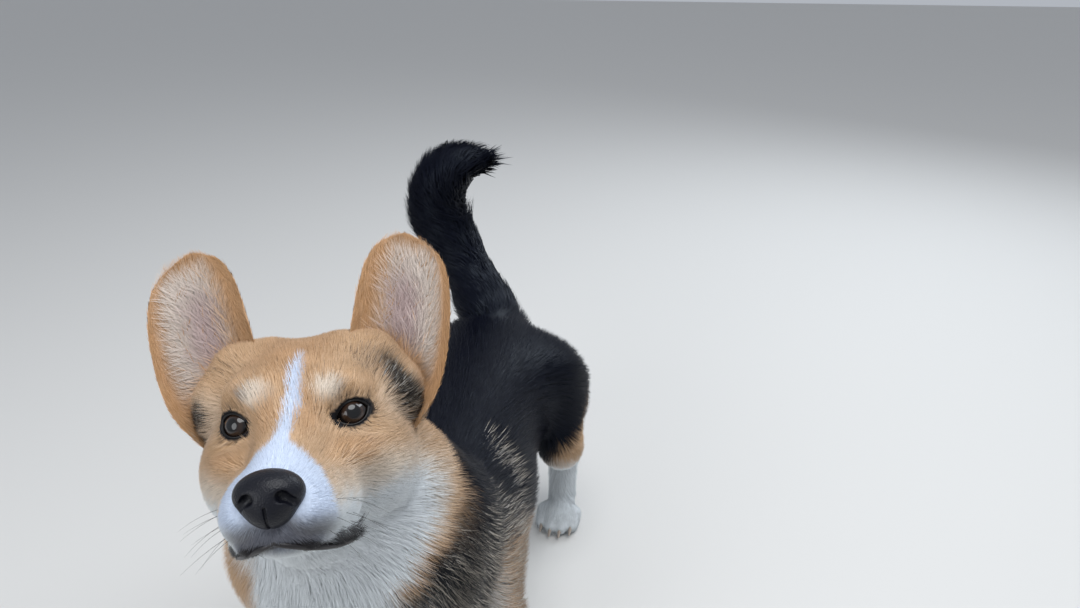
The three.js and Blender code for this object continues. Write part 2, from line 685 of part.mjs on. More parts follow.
tailNames.forEach((name, part) => {
  const [from, to] = [part / tailNames.length, (part + 1) / tailNames.length];
  let body = tailCore;
  if (part < tailNames.length - 1) body = body.subtract(beyond(to, -gap / 2));
  let room = null;
  for (const [row, { t, count, share = 1 }] of tailRows.entries()) {
    if (t < from || t >= to) continue;
    const { at, u, v } = tailFrame(t);
    for (let k = 0; k < count; k++) {
      const turn = (2 * Math.PI * (k + (row % 2) / 2 + draw(-0.15, 0.15))) / count;
      const way = u.clone().multiplyScalar(Math.cos(turn)).addScaledVector(v, Math.sin(turn));
      const levels = tailLock.depths.map((depth) => -depth * tailRadius(t));
      const start = at.clone().addScaledVector(way, tailRadius(t) + levels[0]);
      const named = { ...tailLock, levels, length: tailLock.length * share, width: tailLock.width * share };
      const size = varied(named);
      body = body.add(lock(tailForm, start, tailAlong, size));
      const grown = lock(tailForm, start, tailAlong, size, gap);
      room = room ? room.add(grown) : grown;
    }
  }
  if (part > 0) body = body.intersect(beyond(from, gap / 2));
  for (const taken of rooms) body = body.subtract(taken);
  add(name, body, black);
  rooms = [...rooms, room];
});

// The origin goes to the middle of the dog's foot-print, on the floor
const box = new THREE.Box3().setFromObject(dog);
const middle = box.getCenter(new THREE.Vector3());
dog.position.set(-middle.x, -middle.y, -box.min.z);

export default dog;
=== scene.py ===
"""Looks of a life-size museum model of a Pembroke Welsh corgi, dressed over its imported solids.

The dog is worked out in its own millimetres, as it stands: x to its left, y from nose to tail, z up
from the floor. Two sets of axes are used, the dog's and its turned head's.
"""
import json
import math

import bmesh
import bpy
import numpy as np
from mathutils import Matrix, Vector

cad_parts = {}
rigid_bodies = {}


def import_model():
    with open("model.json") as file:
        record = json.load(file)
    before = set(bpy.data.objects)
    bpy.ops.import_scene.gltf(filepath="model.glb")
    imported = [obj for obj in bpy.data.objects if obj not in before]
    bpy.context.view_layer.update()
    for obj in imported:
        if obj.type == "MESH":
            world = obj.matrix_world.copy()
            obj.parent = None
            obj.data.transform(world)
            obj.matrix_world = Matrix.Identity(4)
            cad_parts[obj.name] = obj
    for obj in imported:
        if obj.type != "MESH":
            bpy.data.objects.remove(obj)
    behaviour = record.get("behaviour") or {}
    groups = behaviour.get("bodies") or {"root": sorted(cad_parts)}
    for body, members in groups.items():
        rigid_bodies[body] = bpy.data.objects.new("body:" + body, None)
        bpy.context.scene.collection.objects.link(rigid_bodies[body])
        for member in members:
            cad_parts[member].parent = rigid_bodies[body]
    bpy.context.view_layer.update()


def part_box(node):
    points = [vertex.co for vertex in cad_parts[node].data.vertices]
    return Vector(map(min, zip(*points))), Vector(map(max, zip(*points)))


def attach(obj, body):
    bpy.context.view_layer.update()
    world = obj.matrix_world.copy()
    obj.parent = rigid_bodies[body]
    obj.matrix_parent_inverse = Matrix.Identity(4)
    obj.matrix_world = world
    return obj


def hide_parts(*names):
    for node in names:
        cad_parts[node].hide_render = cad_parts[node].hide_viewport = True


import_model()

import openvdb
from mathutils import Euler, Matrix, Vector


# The dog's place in the frame, found from its two eyes.
# The head is turned to its left, lifted towards the viewer and tipped a little. Its own axes run
# x to its left, y back and z up, from a point between the eyes.
HEAD_AT = np.array([-8.8, -85.6, 415.2])
HEAD_TURN = Euler([math.radians(a) for a in (-27.1, -3.5, 17.3)], "YXZ")
HEAD_SCALE = 1.0375
HEAD_AXES = np.array(HEAD_TURN.to_matrix())
EYE_AT = (31.5, 8.5, -1.5)
MM = 0.001


def unit(vectors):
    return vectors / np.maximum(np.linalg.norm(vectors, axis=-1, keepdims=True), 1e-9)


def on_side(s, points):
    """Points of the left side, kept for s = 1 and mirrored to the right for s = -1."""
    return np.array(points, float) * (s, 1, 1)


def head_to_dog(points):
    return np.asarray(points, float) * HEAD_SCALE @ HEAD_AXES.T + HEAD_AT


def dog_to_head(points):
    return (np.asarray(points, float) - HEAD_AT) @ HEAD_AXES / HEAD_SCALE


def eye_middle(side):
    low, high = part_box(f"{side}_eye")
    return np.array((low + high) / 2) / MM


between_eyes = (eye_middle("left") + eye_middle("right")) / 2
SHIFT = between_eyes - head_to_dog((0, *EYE_AT[1:]))


def to_frame(points):
    return (np.asarray(points, float) + SHIFT) * MM


# The camera stands over the dog's left shoulder, at a person's waist height, and looks down at its face.
# The floor is a plain pale sweep, and the light a soft studio's: a wide top light, a front fill
# and a cool one from behind.
CAMERA_AT = (235.97, -483.04, 697.98)
CAMERA_AHEAD = Vector((-0.1967, 0.8846, -0.4228))
CAMERA_RIGHT = Vector((0.9768, 0.2141, -0.0065))
FOCAL_PIXELS = 840.7
PHOTO_WIDTH = 1080
SENSOR = 36.0
HALF_FLOOR = 7.0
LIGHT_AIM = Vector((0, -0.05, 0.25))


def add_object(name, data):
    made = bpy.data.objects.new(name, data)
    bpy.context.scene.collection.objects.link(made)
    return made


def new_material(name, settings):
    """A material and its shader, whose named inputs are set."""
    made = bpy.data.materials.new(name)
    made.use_nodes = True
    shader = made.node_tree.nodes["Principled BSDF"]
    for place, value in settings.items():
        shader.inputs[place].default_value = value
    return made, shader


lens = bpy.data.cameras.new("camera")
lens.sensor_width = SENSOR
lens.lens = FOCAL_PIXELS / PHOTO_WIDTH * SENSOR
lens.clip_start = 0.02
lens.clip_end = 50
camera = add_object("camera", lens)
camera_up = CAMERA_RIGHT.cross(CAMERA_AHEAD).normalized()
turned = Matrix((CAMERA_RIGHT.normalized(), camera_up, -CAMERA_AHEAD.normalized())).transposed()
camera.matrix_world = Matrix.Translation(Vector(to_frame(CAMERA_AT))) @ turned.to_4x4()
bpy.context.scene.camera = camera

floor_mesh = bpy.data.meshes.new("floor")
floor_corners = [(x * HALF_FLOOR, y * HALF_FLOOR, 0) for x, y in ((-1, -1), (1, -1), (1, 1), (-1, 1))]
floor_mesh.from_pydata(floor_corners, [], [(0, 1, 2, 3)])
floor_paint, _ = new_material("pale_floor", {"Base Color": (0.62, 0.61, 0.59, 1), "Roughness": 0.7})
floor_mesh.materials.append(floor_paint)
floor = add_object("floor", floor_mesh)

world = bpy.data.worlds.new("studio")
bpy.context.scene.world = world
world.use_nodes = True
world.node_tree.nodes["Background"].inputs["Color"].default_value = (0.80, 0.85, 0.93, 1)
world.node_tree.nodes["Background"].inputs["Strength"].default_value = 0.55
bpy.context.scene.view_settings.view_transform = "Standard"

for name, place, size, watts, colour in (
    ("top_light", (0.5, -0.3, 2.2), 1.6, 34, (0.97, 0.985, 1.0)),
    ("front_light", (-0.7, -1.7, 1.1), 1.2, 12, (0.96, 0.98, 1.0)),
    ("back_light", (0.9, 1.6, 1.4), 1.2, 16, (0.86, 0.93, 1.0)),
):
    lamp = bpy.data.lights.new(name, "AREA")
    lamp.shape = "DISK"
    lamp.size = size
    lamp.energy = watts
    lamp.color = colour
    light = add_object(name, lamp)
    light.location = place
    light.rotation_euler = (LIGHT_AIM - Vector(place)).to_track_quat("-Z", "Y").to_euler()


# The skin under the coat: hide over muscle and bone, one closed surface from nose to tail.
# Each muscle, pad and bulge is a rounded distance field, and neighbours flow into each other over a
# width. Each lies inside the solids by the depth of the hair that grows there, its coat.
FAR = 60.0
REACH = 30.0


class Form:
    """A rounded solid between two corners: value(x, y, z) is its distance in millimetres, negative inside."""

    def __init__(self, low, high, value):
        self.low = low
        self.high = high
        self.value = value


def ball(at, half_size, coat=0.0):
    at = np.array(at, float)
    radii = np.array(half_size, float) - coat

    def value(x, y, z):
        u, v, w = (x - at[0]) / radii[0], (y - at[1]) / radii[1], (z - at[2]) / radii[2]
        reach = np.sqrt(u * u + v * v + w * w)
        slope = np.sqrt((u / radii[0]) ** 2 + (v / radii[1]) ** 2 + (w / radii[2]) ** 2)
        return reach * (reach - 1) / np.maximum(slope, 1e-6)

    return Form(at - radii, at + radii, value)


def bone(start, end, start_radius, end_radius, coat=0.0):
    start, end = np.array(start, float), np.array(end, float)
    span = end - start
    thick = max(start_radius, end_radius) - coat

    def value(x, y, z):
        px, py, pz = x - start[0], y - start[1], z - start[2]
        t = np.clip((px * span[0] + py * span[1] + pz * span[2]) / (span @ span), 0, 1)
        away = np.sqrt((px - t * span[0]) ** 2 + (py - t * span[1]) ** 2 + (pz - t * span[2]) ** 2)
        return away - (start_radius - coat + (end_radius - start_radius) * t)

    return Form(np.minimum(start, end) - thick, np.maximum(start, end) + thick, value)


def chain(points, radii, coat=0.0):
    pairs = zip(points[:-1], points[1:], radii[:-1], radii[1:])
    return [bone(a, b, ra, rb, coat) for a, b, ra, rb in pairs]


def smooth_min(a, b, width):
    near = np.maximum(width - np.abs(a - b), 0) / width
    return np.minimum(a, b) - near * near * width / 4


def carve(field, hollow, width):
    """Takes a hollow's field out of another, with a rounded edge."""
    return -smooth_min(-field, hollow, width)


def window(form, x, y, z):
    """The part of an open grid that a form can change."""
    parts = []
    for axis, low, high in zip((x, y, z), form.low - REACH, form.high + REACH):
        inside = np.nonzero((axis.ravel() >= low) & (axis.ravel() <= high))[0]
        if not len(inside):
            return None
        parts.append(slice(inside[0], inside[-1] + 1))
    return tuple(parts)


def blend(width, *forms):
    def value(x, y, z):
        shape = np.broadcast_shapes(np.shape(x), np.shape(y), np.shape(z))
        total = np.full(shape, FAR)
        is_grid = len(shape) == 3 and np.size(x) == shape[0] and np.size(y) == shape[1]
        for form in forms:
            if not is_grid:
                total = smooth_min(total, form.value(x, y, z), width)
                continue
            part = window(form, x, y, z)
            if part is None:
                continue
            here = form.value(x[part[0]], y[:, part[1]], z[:, :, part[2]])
            total[part] = smooth_min(total[part], here, width)
        return total

    lows, highs = zip(*((f.low, f.high) for f in forms))
    return Form(np.min(lows, 0), np.max(highs, 0), value)


# The trunk and neck: rib cage, loins and rump, and a neck that rises to the turned head.
# They are balls and bones of flesh, each under the depth of its own coat.
BODY_COAT = 9.0
NECK_COAT = 15.0
LEG_COAT = 4.0
NECK_POINTS = [(0, 16, 222), (-6, -16, 284), (-14, -32, 330)]
trunk = blend(
    26,
    ball((0, 46, 195), (105, 124, 93), BODY_COAT),
    ball((0, -30, 200), (74, 56, 74), 4),
    bone((0, -2, 228), (0, 96, 222), 64, 64, BODY_COAT),
    bone((0, 140, 207), (0, 270, 207), 78, 77, BODY_COAT),
    ball((0, 140, 200), (93, 90, 74), BODY_COAT),
    ball((0, 326, 213), (92, 76, 73), BODY_COAT),
)
throat = ball((-8, -42, 262), (104, 66, 72), NECK_COAT)
neck = blend(20, *chain(NECK_POINTS, [98, 90, 76], NECK_COAT), throat)

# The legs: short and heavy-boned, each on a paw with four toes.
# A leg is a chain of bones that flow into each other, and the thigh and buttock a mass of muscle.
FORE_STANCE, HIND_STANCE = 50, 74
FORE_LEG = [(72, 22, 152), (62, 10, 98), (FORE_STANCE + 2, -4, 52), (FORE_STANCE, -14, 26)]
SHANK = [(84, 304, 146), (HIND_STANCE - 2, 384, 82), (HIND_STANCE, 368, 28)]
FORE_HEEL, HIND_HEEL = (FORE_STANCE, -20), (HIND_STANCE, 356)
TOE_REACH = 30
TOE_SPREAD = 12
OUTER_TOE_BACK = 7
TOE_PLACES = (-1.5, -0.5, 0.5, 1.5)


def paw(s, heel):
    toes = []
    for place in TOE_PLACES:
        x = s * (heel[0] + place * TOE_SPREAD)
        y = heel[1] - TOE_REACH + (OUTER_TOE_BACK if abs(place) > 1 else 0)
        toes.append(bone((x, y + TOE_REACH / 2, 16), (x, y, 8.5), 9.6, 7.8))
    return blend(3.0, ball((s * heel[0], heel[1] - 6, 14), (20, 24, 17)), *toes)


def fore_leg(s):
    return blend(14, *chain(on_side(s, FORE_LEG), [38, 31, 22, 20], LEG_COAT))


def hind_leg(s):
    thigh = bone(*on_side(s, [(56, 334, 205), (86, 294, 160)]), 58, 27, 8)
    buttock = ball(on_side(s, (70, 346, 168)), (30, 31, 48), 3)
    upper, hock, foot = on_side(s, SHANK)
    shank = blend(10, bone(upper, hock, 25, 21, LEG_COAT), bone(hock, foot, 21, 19, LEG_COAT))
    knee = bone(*on_side(s, [(83, 304, 142), (80, 332, 112)]), 20, 16, 4)
    return blend(20, blend(24, thigh, buttock), blend(12, shank, knee))


# The tail's core: bone and muscle on a curve that leans to the right and comes over at the tip.
# It is thin, because most of what shows of the tail is its long hair.
TAIL_POINTS = [(-8, 376, 244), (-46, 400, 312), (-78, 400, 378), (-66, 390, 430), (-24, 380, 450)]
TAIL_RADII = [42, 42, 40, 34, 10]
TAIL_STEPS = 48
TAIL_STRIDE = 4


def catmull(points, t):
    """A point along a smooth curve through points, t from 0 to 1, as arrays."""
    points = np.asarray(points, float)
    ends = np.vstack([2 * points[0] - points[1], points, 2 * points[-1] - points[-2]])
    place = np.clip(np.asarray(t, float), 0, 1) * (len(points) - 1)
    i = np.minimum(place.astype(int), len(points) - 2)
    f = (place - i)[..., None]
    a, b, c, d = ends[i], ends[i + 1], ends[i + 2], ends[i + 3]
    return 0.5 * (2 * b + (c - a) * f + (2 * a - 5 * b + 4 * c - d) * f**2 + (3 * b - a - 3 * c + d) * f**3)


tail_t = np.linspace(0, 1, TAIL_STEPS + 1)
tail_line = catmull(TAIL_POINTS, tail_t)
tail_radius = np.interp(tail_t, np.linspace(0, 1, len(TAIL_RADII)), TAIL_RADII)
tail_core = np.interp(tail_t, [0, 0.1, 0.28, 1], [0.86, 0.7, 0.42, 0.38])
tail_knots = tail_line[::TAIL_STRIDE]
tail = blend(6, *chain(tail_knots, (tail_radius * tail_core)[::TAIL_STRIDE]))

legs = [leg(s) for s in (1, -1) for leg in (fore_leg, hind_leg)]
paws = [paw(s, heel) for s in (1, -1) for heel in (FORE_HEEL, HIND_HEEL)]
body = blend(8, blend(20, trunk, *legs, neck), tail, *paws)

# The head: skull, cheeks, muzzle, lips, jaw and the roots of the ears, in the head's own axes.
# The eyes lie in shallow orbits, under lids that are drawn over them and opened to an almond.
SKULL_COAT = 3.5
MUZZLE_COAT = 1.8
CHEEK_COAT = 5.0
EAR_BASE = [(24, 52, 35), (42, 51, 30), (56, 50, 12), (61, 57, -8)]
EAR_HEEL = [(34, 67, 30), (48, 68, 15), (56, 62, -4)]
LIP_LINE = [(3, -68, -55), (15, -60, -59), (25, -40, -63), (31, -18, -65)]
LIP_RADIUS = 4.4
skull = ball((0, 52, 2), (56, 66, 48), SKULL_COAT)
jaw_root = ball((0, 38, -60), (38, 54, 36), CHEEK_COAT)


def lips(s):
    return chain(on_side(s, LIP_LINE), [LIP_RADIUS] * len(LIP_LINE))


def cheeks(s):
    pads = (
        ((22, 8, 13), (23, 23, 18), SKULL_COAT),
        ((36, 36, -32), (33, 48, 40), CHEEK_COAT),
        ((32, 4, -24), (20, 26, 18), SKULL_COAT),
        ((13, -52, -43), (18, 22, 19), MUZZLE_COAT),
        ((20, -24, -46), (18, 34, 23), MUZZLE_COAT),
    )
    ear_roots = chain(on_side(s, EAR_BASE), [14, 15, 14, 10]) + chain(on_side(s, EAR_HEEL), [16, 13, 8])
    return [ball(on_side(s, at), half_size, coat) for at, half_size, coat in pads] + ear_roots


muzzle = bone((0, 4, -12), (0, -56, -32), 25, 17, MUZZLE_COAT)
upper_head = blend(12, skull, jaw_root, muzzle, *cheeks(1), *cheeks(-1))
upper_head = blend(5, upper_head, *lips(1), *lips(-1))
lower_jaw = blend(
    8,
    ball((0, -46, -59), (16, 15, 11), MUZZLE_COAT),
    ball((0, -8, -62), (24, 40, 13), MUZZLE_COAT),
    *(bone(*on_side(s, [(22, 16, -60), (8, -44, -58)]), 14, 10, MUZZLE_COAT) for s in (1, -1)),
)
EYE_RADIUS = 11.2
GAZE = (0.38, -0.89, 0.16)
EYE_TILT = math.radians(14)
EYE_HALF, EYE_UPPER, EYE_LOWER = 10.8, 6.8, 7.2
UPPER_ARC = (EYE_HALF**2 + EYE_UPPER**2) / (2 * EYE_UPPER)
LOWER_ARC = (EYE_HALF**2 + EYE_LOWER**2) / (2 * EYE_LOWER)
LID_DEPTH = 1.9
LID_BLEND, LID_EDGE = 6, 0.8
ORBIT_AHEAD, ORBIT_RADIUS, ORBIT_EDGE = 25.5, 17.0, 9
SOCKET_GAP, SOCKET_EDGE = 0.6, 0.5
OPENING_GROWTH = 0.4
JAW_CREASE = 1.2


def eye_axes(s):
    """The eye's own axes in the head's: across, up and ahead."""
    ahead = on_side(s, GAZE) / np.linalg.norm(GAZE)
    level = unit(np.cross(ahead, (0, 0, 1)))
    upright = np.cross(level, ahead)
    tilt = s * EYE_TILT
    across = level * math.cos(tilt) - upright * math.sin(tilt)
    return across, np.cross(across, ahead), ahead


def beside_eye(s, x, y, z):
    """Places as seen from an eye: across, up and ahead of its middle, and the distance from it."""
    dx, dy, dz = (p - at for p, at in zip((x, y, z), on_side(s, EYE_AT)))
    seen = [dx * axis[0] + dy * axis[1] + dz * axis[2] for axis in eye_axes(s)]
    return *seen, np.sqrt(dx * dx + dy * dy + dz * dz)


def almond(u, v):
    """Distance outside the opening of the lids, two arcs that meet at its corners."""
    under_upper = np.hypot(u, v - (EYE_UPPER - UPPER_ARC)) - UPPER_ARC
    over_lower = np.hypot(u, v + (EYE_LOWER - LOWER_ARC)) - LOWER_ARC
    return np.maximum(under_upper, over_lower)


def head_field(x, y, z):
    field = smooth_min(upper_head.value(x, y, z), lower_jaw.value(x, y, z), JAW_CREASE)
    for s in (1, -1):
        u, v, forward, away = beside_eye(s, x, y, z)
        orbit = np.sqrt(u * u + v * v + (forward - ORBIT_AHEAD) ** 2) - ORBIT_RADIUS
        field = carve(field, orbit, ORBIT_EDGE)
        field = smooth_min(field, away - EYE_RADIUS - LID_DEPTH, LID_BLEND)
        field = carve(field, np.maximum(almond(u, v) - OPENING_GROWTH, -forward), LID_EDGE)
        field = carve(field, away - EYE_RADIUS + SOCKET_GAP, SOCKET_EDGE)
    return field


# The skin's surface is found on grids of points. The head and feet have finer ones than the body, and
# are cut off on a plane and sewn to it, edge to edge.
HEAD_STEP, BODY_STEP, FOOT_STEP = 1.67, 4.0, 1.95
HEAD_BLEND = 14
ANKLE = 46.0
SEAM_AT = np.array([-12.0, -40.0, 288.0])
SEAM_UP = np.array([-0.16, -0.45, 0.88]) / np.linalg.norm([-0.16, -0.45, 0.88])
SEAM_GAP = 1.5
LEGS_BELOW, FORE_BEFORE = 150, 150


def surface_of(field, low, step):
    grid = openvdb.FloatGrid(FAR)
    grid.copyFromArray(np.ascontiguousarray(field, np.float64))
    points, quads = grid.convertToQuads()
    return np.array(points) * step + low, np.array(quads).tolist()


def open_grid(low, high, step):
    return np.ix_(*[np.arange(a, b, step) for a, b in zip(low, high)])


def head_skin():
    low, high = (-92.0, -80, -160), (92.0, 175, 62)
    x, y, z = open_grid(low, high, HEAD_STEP)
    axes = zip(HEAD_AXES, HEAD_AT)
    on_dog = [HEAD_SCALE * (axis[0] * x + axis[1] * y + axis[2] * z) + at for axis, at in axes]
    field = head_field(x, y, z) * HEAD_SCALE
    field = smooth_min(field, blend(20, neck, trunk).value(*on_dog), HEAD_BLEND)
    points, quads = surface_of(field, low, HEAD_STEP)
    return head_to_dog(points), quads


def body_skin():
    low, high = (-125.0, -115, -6), (125.0, 445, 480)
    x, y, z = open_grid(low, high, BODY_STEP)
    field = body.value(x, y, z)
    top = slice(np.searchsorted(z.ravel(), 250.0), np.searchsorted(z.ravel(), 380.0))
    inner = dog_to_head(np.stack(np.broadcast_arrays(x, y, z[:, :, top]), -1))
    head_part = blend(12, skull, jaw_root).value(inner[..., 0], inner[..., 1], inner[..., 2]) * HEAD_SCALE
    field[:, :, top] = smooth_min(field[:, :, top], head_part, HEAD_BLEND)
    return surface_of(np.maximum(field, -z), low, BODY_STEP)


def foot_skin(y_low, y_high):
    """The feet at one end of the dog, finely enough for their toes."""
    low, high = (-118.0, y_low, -3), (118.0, y_high, ANKLE + 12)
    x, y, z = open_grid(low, high, FOOT_STEP)
    return surface_of(np.maximum(body.value(x, y, z), -z), low, FOOT_STEP)


def add_faces(mesh, points, faces):
    verts = [mesh.verts.new(p) for p in points.tolist()]
    return [mesh.faces.new([verts[i] for i in face]) for face in faces]


def trimmed(points, quads, *cuts):
    """A part of the skin without what lies behind each cut's plane."""
    mesh = bmesh.new()
    add_faces(mesh, points, quads)
    for place, normal in cuts:
        everything = mesh.verts[:] + mesh.edges[:] + mesh.faces[:]
        bmesh.ops.bisect_plane(mesh, geom=everything, plane_co=place, plane_no=normal, clear_inner=True)
    return mesh


def add_part(mesh, other):
    piece = bpy.data.meshes.new("piece")
    other.to_mesh(piece)
    mesh.from_mesh(piece)
    bpy.data.meshes.remove(piece)
    other.free()


def sew(mesh, near):
    """Joins the two open edges whose points pass a test."""
    edges = [e for e in mesh.edges if e.is_boundary and near(e.verts[0].co)]
    bmesh.ops.bridge_loops(mesh, edges=edges)


def sewn_skin():
    """The body's skin with the finer head and feet sewn on along their cuts."""
    under_head = (list(SEAM_AT - SEAM_UP * SEAM_GAP), list(-SEAM_UP))
    whole = trimmed(*body_skin(), under_head, ((0, 0, ANKLE + SEAM_GAP), (0, 0, 1)))
    add_part(whole, trimmed(*head_skin(), (list(SEAM_AT + SEAM_UP * SEAM_GAP), list(SEAM_UP))))
    for span in ((-78, 32), (314, 412)):
        add_part(whole, trimmed(*foot_skin(*span), ((0, 0, ANKLE - 0.5), (0, 0, -1))))
    sew(whole, lambda co: co.z > LEGS_BELOW)
    for s in (1, -1):
        for fore in (True, False):
            sew(whole, lambda co: co.z < LEGS_BELOW and co.x * s > 0 and (co.y < FORE_BEFORE) == fore)
    bmesh.ops.recalc_face_normals(whole, faces=whole.faces[:])
    return whole


# The ears: thin cupped shells of gristle and skin with rounded rims, rooted in the skull.
# Each is a row of rings from root to tip, between its inner and its outer edge.
EAR_INNER = [[28, 42, 40], [33, 48, 64], [41, 55, 91], [51, 60, 107], [60, 61, 114]]
EAR_OUTER = [[64, 46, -24], [87, 41, 9], [98, 47, 56], [96, 56, 90], [82, 61, 110]]
EAR_CUP = [[26], [24], [17], [8], [1]]
EAR_BACK = np.array([0.15, 0.98, 0.1])
EAR_ROUND = 0.34
EAR_THICK = 4.5
EAR_TAPER = 0.35
RIM_THICK = 0.35
EAR_WRAP, EAR_SWELL = 0.485, 0.27
EAR_ROWS, EAR_SIDES = 56, 72
EAR_T = 1 - (1 - np.linspace(0, 1, EAR_ROWS)) ** 1.25
EAR_TURNS = np.linspace(0, 2 * math.pi, EAR_SIDES, endpoint=False)
EAR_ALONG, EAR_TURN = np.meshgrid(EAR_T, EAR_TURNS, indexing="ij")


def ear_points(s, t, w, lift):
    """Points of an ear: t from root to tip, w from its inner to its outer edge, lift from front to back."""
    close = np.sqrt(np.clip(1 - (np.maximum(t - 1 + EAR_ROUND, 0) / EAR_ROUND) ** 2, 0.002, 1))
    w = 0.5 + (w - 0.5) * close
    cup = catmull(EAR_CUP, t)
    over = (4 * w * (1 - w))[..., None]
    thick = EAR_THICK * (1 - EAR_TAPER * t)[..., None] * (RIM_THICK + (1 - RIM_THICK) * np.sqrt(over))
    points = catmull(EAR_INNER, t) * (1 - w[..., None]) + catmull(EAR_OUTER, t) * w[..., None]
    points = points + EAR_BACK * (cup * over + lift[..., None] * thick)
    return points * (s, 1, 1)


def ring_faces(rows, count, closed=False, capped=False):
    """Faces between rings of points, closed on themselves from last to first or capped at both ends."""
    faces = []
    for i in range(rows if closed else rows - 1):
        j = (i + 1) % rows
        for k in range(count):
            n = (k + 1) % count
            faces.append((i * count + k, i * count + n, j * count + n, j * count + k))
    if capped:
        faces.append(tuple(range(count))[::-1])
        faces.append(tuple(range((rows - 1) * count, rows * count)))
    return faces


def skin_mesh():
    whole = sewn_skin()
    for s in (1, -1):
        w, lift = 0.5 + EAR_WRAP * np.cos(EAR_TURN), 0.5 + EAR_SWELL * np.sin(EAR_TURN)
        rings = ear_points(s, EAR_ALONG, w, lift)
        faces = ring_faces(EAR_ROWS, EAR_SIDES, capped=True)
        shell = add_faces(whole, head_to_dog(rings.reshape(-1, 3)), faces)
        bmesh.ops.recalc_face_normals(whole, faces=shell)
    mesh = bpy.data.meshes.new("skin")
    whole.to_mesh(mesh)
    whole.free()
    return mesh


skin = add_object("skin", skin_mesh())
skin.data.update()


# Places on the skin, as arrays: each point in the dog's axes and in the head's, and how much of it
# belongs to each region, from 0 to 1.
def smooth_step(low, high, value):
    t = np.clip((value - low) / (high - low), 0, 1)
    return t * t * (3 - 2 * t)


def mix(a, b, share):
    """a where share is 0 and b where it is 1; colours and directions are mixed as well."""
    of_three = np.shape(a)[-1:] == (3,) or np.shape(b)[-1:] == (3,)
    share = share[:, None] if of_three else share
    return np.asarray(a) * (1 - share) + np.asarray(b) * share


def layered(base, *layers):
    """A base with others laid over it in turn, each by its share."""
    for other, share in layers:
        base = mix(base, other, share)
    return base


def point_array(items, name, width=3):
    values = np.empty(len(items) * width, np.float32)
    items.foreach_get(name, values)
    return values.reshape(-1, width).astype(float)


def ripple(points, size, seed):
    """A cheap smooth noise between about -1 and 1, with features of the given size."""
    chance = np.random.default_rng(seed)
    total = np.zeros(len(points))
    for strength in (1.0, 0.8, 0.6, 0.5):
        direction = unit(chance.normal(size=3)) / (size * strength)
        total += np.sin(points @ direction * 2 * math.pi + chance.uniform(0, 6.3))
    return total / 2.4


def away_from(points, line):
    """Distance from points to a broken line."""
    best = np.full(len(points), 1e9)
    for a, b in zip(line[:-1], line[1:]):
        a, b = np.array(a, float), np.array(b, float)
        t = np.clip((points - a) @ (b - a) / ((b - a) @ (b - a)), 0, 1)
        best = np.minimum(best, np.linalg.norm(points - a - t[:, None] * (b - a), axis=1))
    return best


def spot(points, at, half_size, soft):
    """1 inside an ellipsoid, falling to 0 outside over a share of its size."""
    away = np.linalg.norm((points - np.array(at, float)) / np.array(half_size, float), axis=1)
    return smooth_step(1 + soft / 2, 1 - soft / 2, away)


dog = point_array(skin.data.vertices, "co")
dog_normal = point_array(skin.data.vertex_normals, "vector")
head = dog_to_head(dog)
x, y, z = dog.T
hx, hy, hz = head.T
beside, head_beside = np.abs(x), np.abs(hx)
mirror_dog = np.stack([beside, y, z], 1)
mirror_head = np.stack([head_beside, hy, hz], 1)
nx, ny, nz = dog_normal.T

ear_count = EAR_ROWS * EAR_SIDES
ear_side = np.repeat([0.0, 1.0, -1.0], [len(dog) - 2 * ear_count, ear_count, ear_count])
on_ear = ear_side != 0
ear_t, ear_w, ear_lift = np.zeros((3, len(dog)))
ear_t[on_ear] = np.tile(EAR_ALONG.ravel(), 2)
ear_w[on_ear] = np.tile(0.5 + 0.5 * np.cos(EAR_TURN.ravel()), 2)
ear_lift[on_ear] = np.tile(0.5 + 0.5 * np.sin(EAR_TURN.ravel()), 2)
ear_inside = on_ear * smooth_step(0.55, 0.35, ear_lift)

above_seam = (dog - SEAM_AT) @ SEAM_UP
tail_away = np.linalg.norm(dog[:, None, :] - tail_knots[None], axis=2)
nearest_knot = np.argmin(tail_away, axis=1)
tail_place = tail_t[::TAIL_STRIDE][nearest_knot]
on_tail = smooth_step(46, 34, tail_away.min(axis=1)) * (y > 340) * smooth_step(262, 280, z)
on_fore = smooth_step(52, 34, away_from(mirror_dog, FORE_LEG)) * smooth_step(160, 128, z) * (y < 120)
on_hind = smooth_step(150, 112, z) * (y > 235) * smooth_step(60, 40, away_from(mirror_dog, SHANK))
on_thigh = smooth_step(225, 262, y) * smooth_step(252, 205, z) * smooth_step(20, 50, beside) * (1 - on_hind)
on_paw = smooth_step(38, 28, z)
on_head = smooth_step(2, 26, above_seam)
on_neck = smooth_step(-75, -25, above_seam) * (1 - on_head) * smooth_step(120, 70, y)
on_neck = on_neck * smooth_step(190, 225, z)
on_bib = smooth_step(20, -30, y) * smooth_step(265, 235, z) * smooth_step(90, 125, z)
on_bib = on_bib * (1 - on_fore) * smooth_step(95, 72, beside)
belly = smooth_step(-0.35, -0.8, nz) * smooth_step(185, 150, z) * smooth_step(60, 90, z)
muzzle_share = on_head * smooth_step(-22, -44, hy)
cheek_back = on_head * smooth_step(0, 72, hy) * smooth_step(15, -25, hz)
cheek_back = np.maximum(cheek_back, on_head * smooth_step(-34, 34, hy) * smooth_step(-50, -78, hz))


# The way the hair lies, as a direction along the skin at each point: back from the nose and the eyes
# over the head, up the ears, down the chest and legs, and back over the trunk.
EYE_SWIRL = 17
SWIRL_PUSH = 4.0
EAR_STEP = 0.02


def leaning(way, towards, share):
    """A direction with another added to it by a share."""
    return way + np.asarray(towards) * share[:, None]


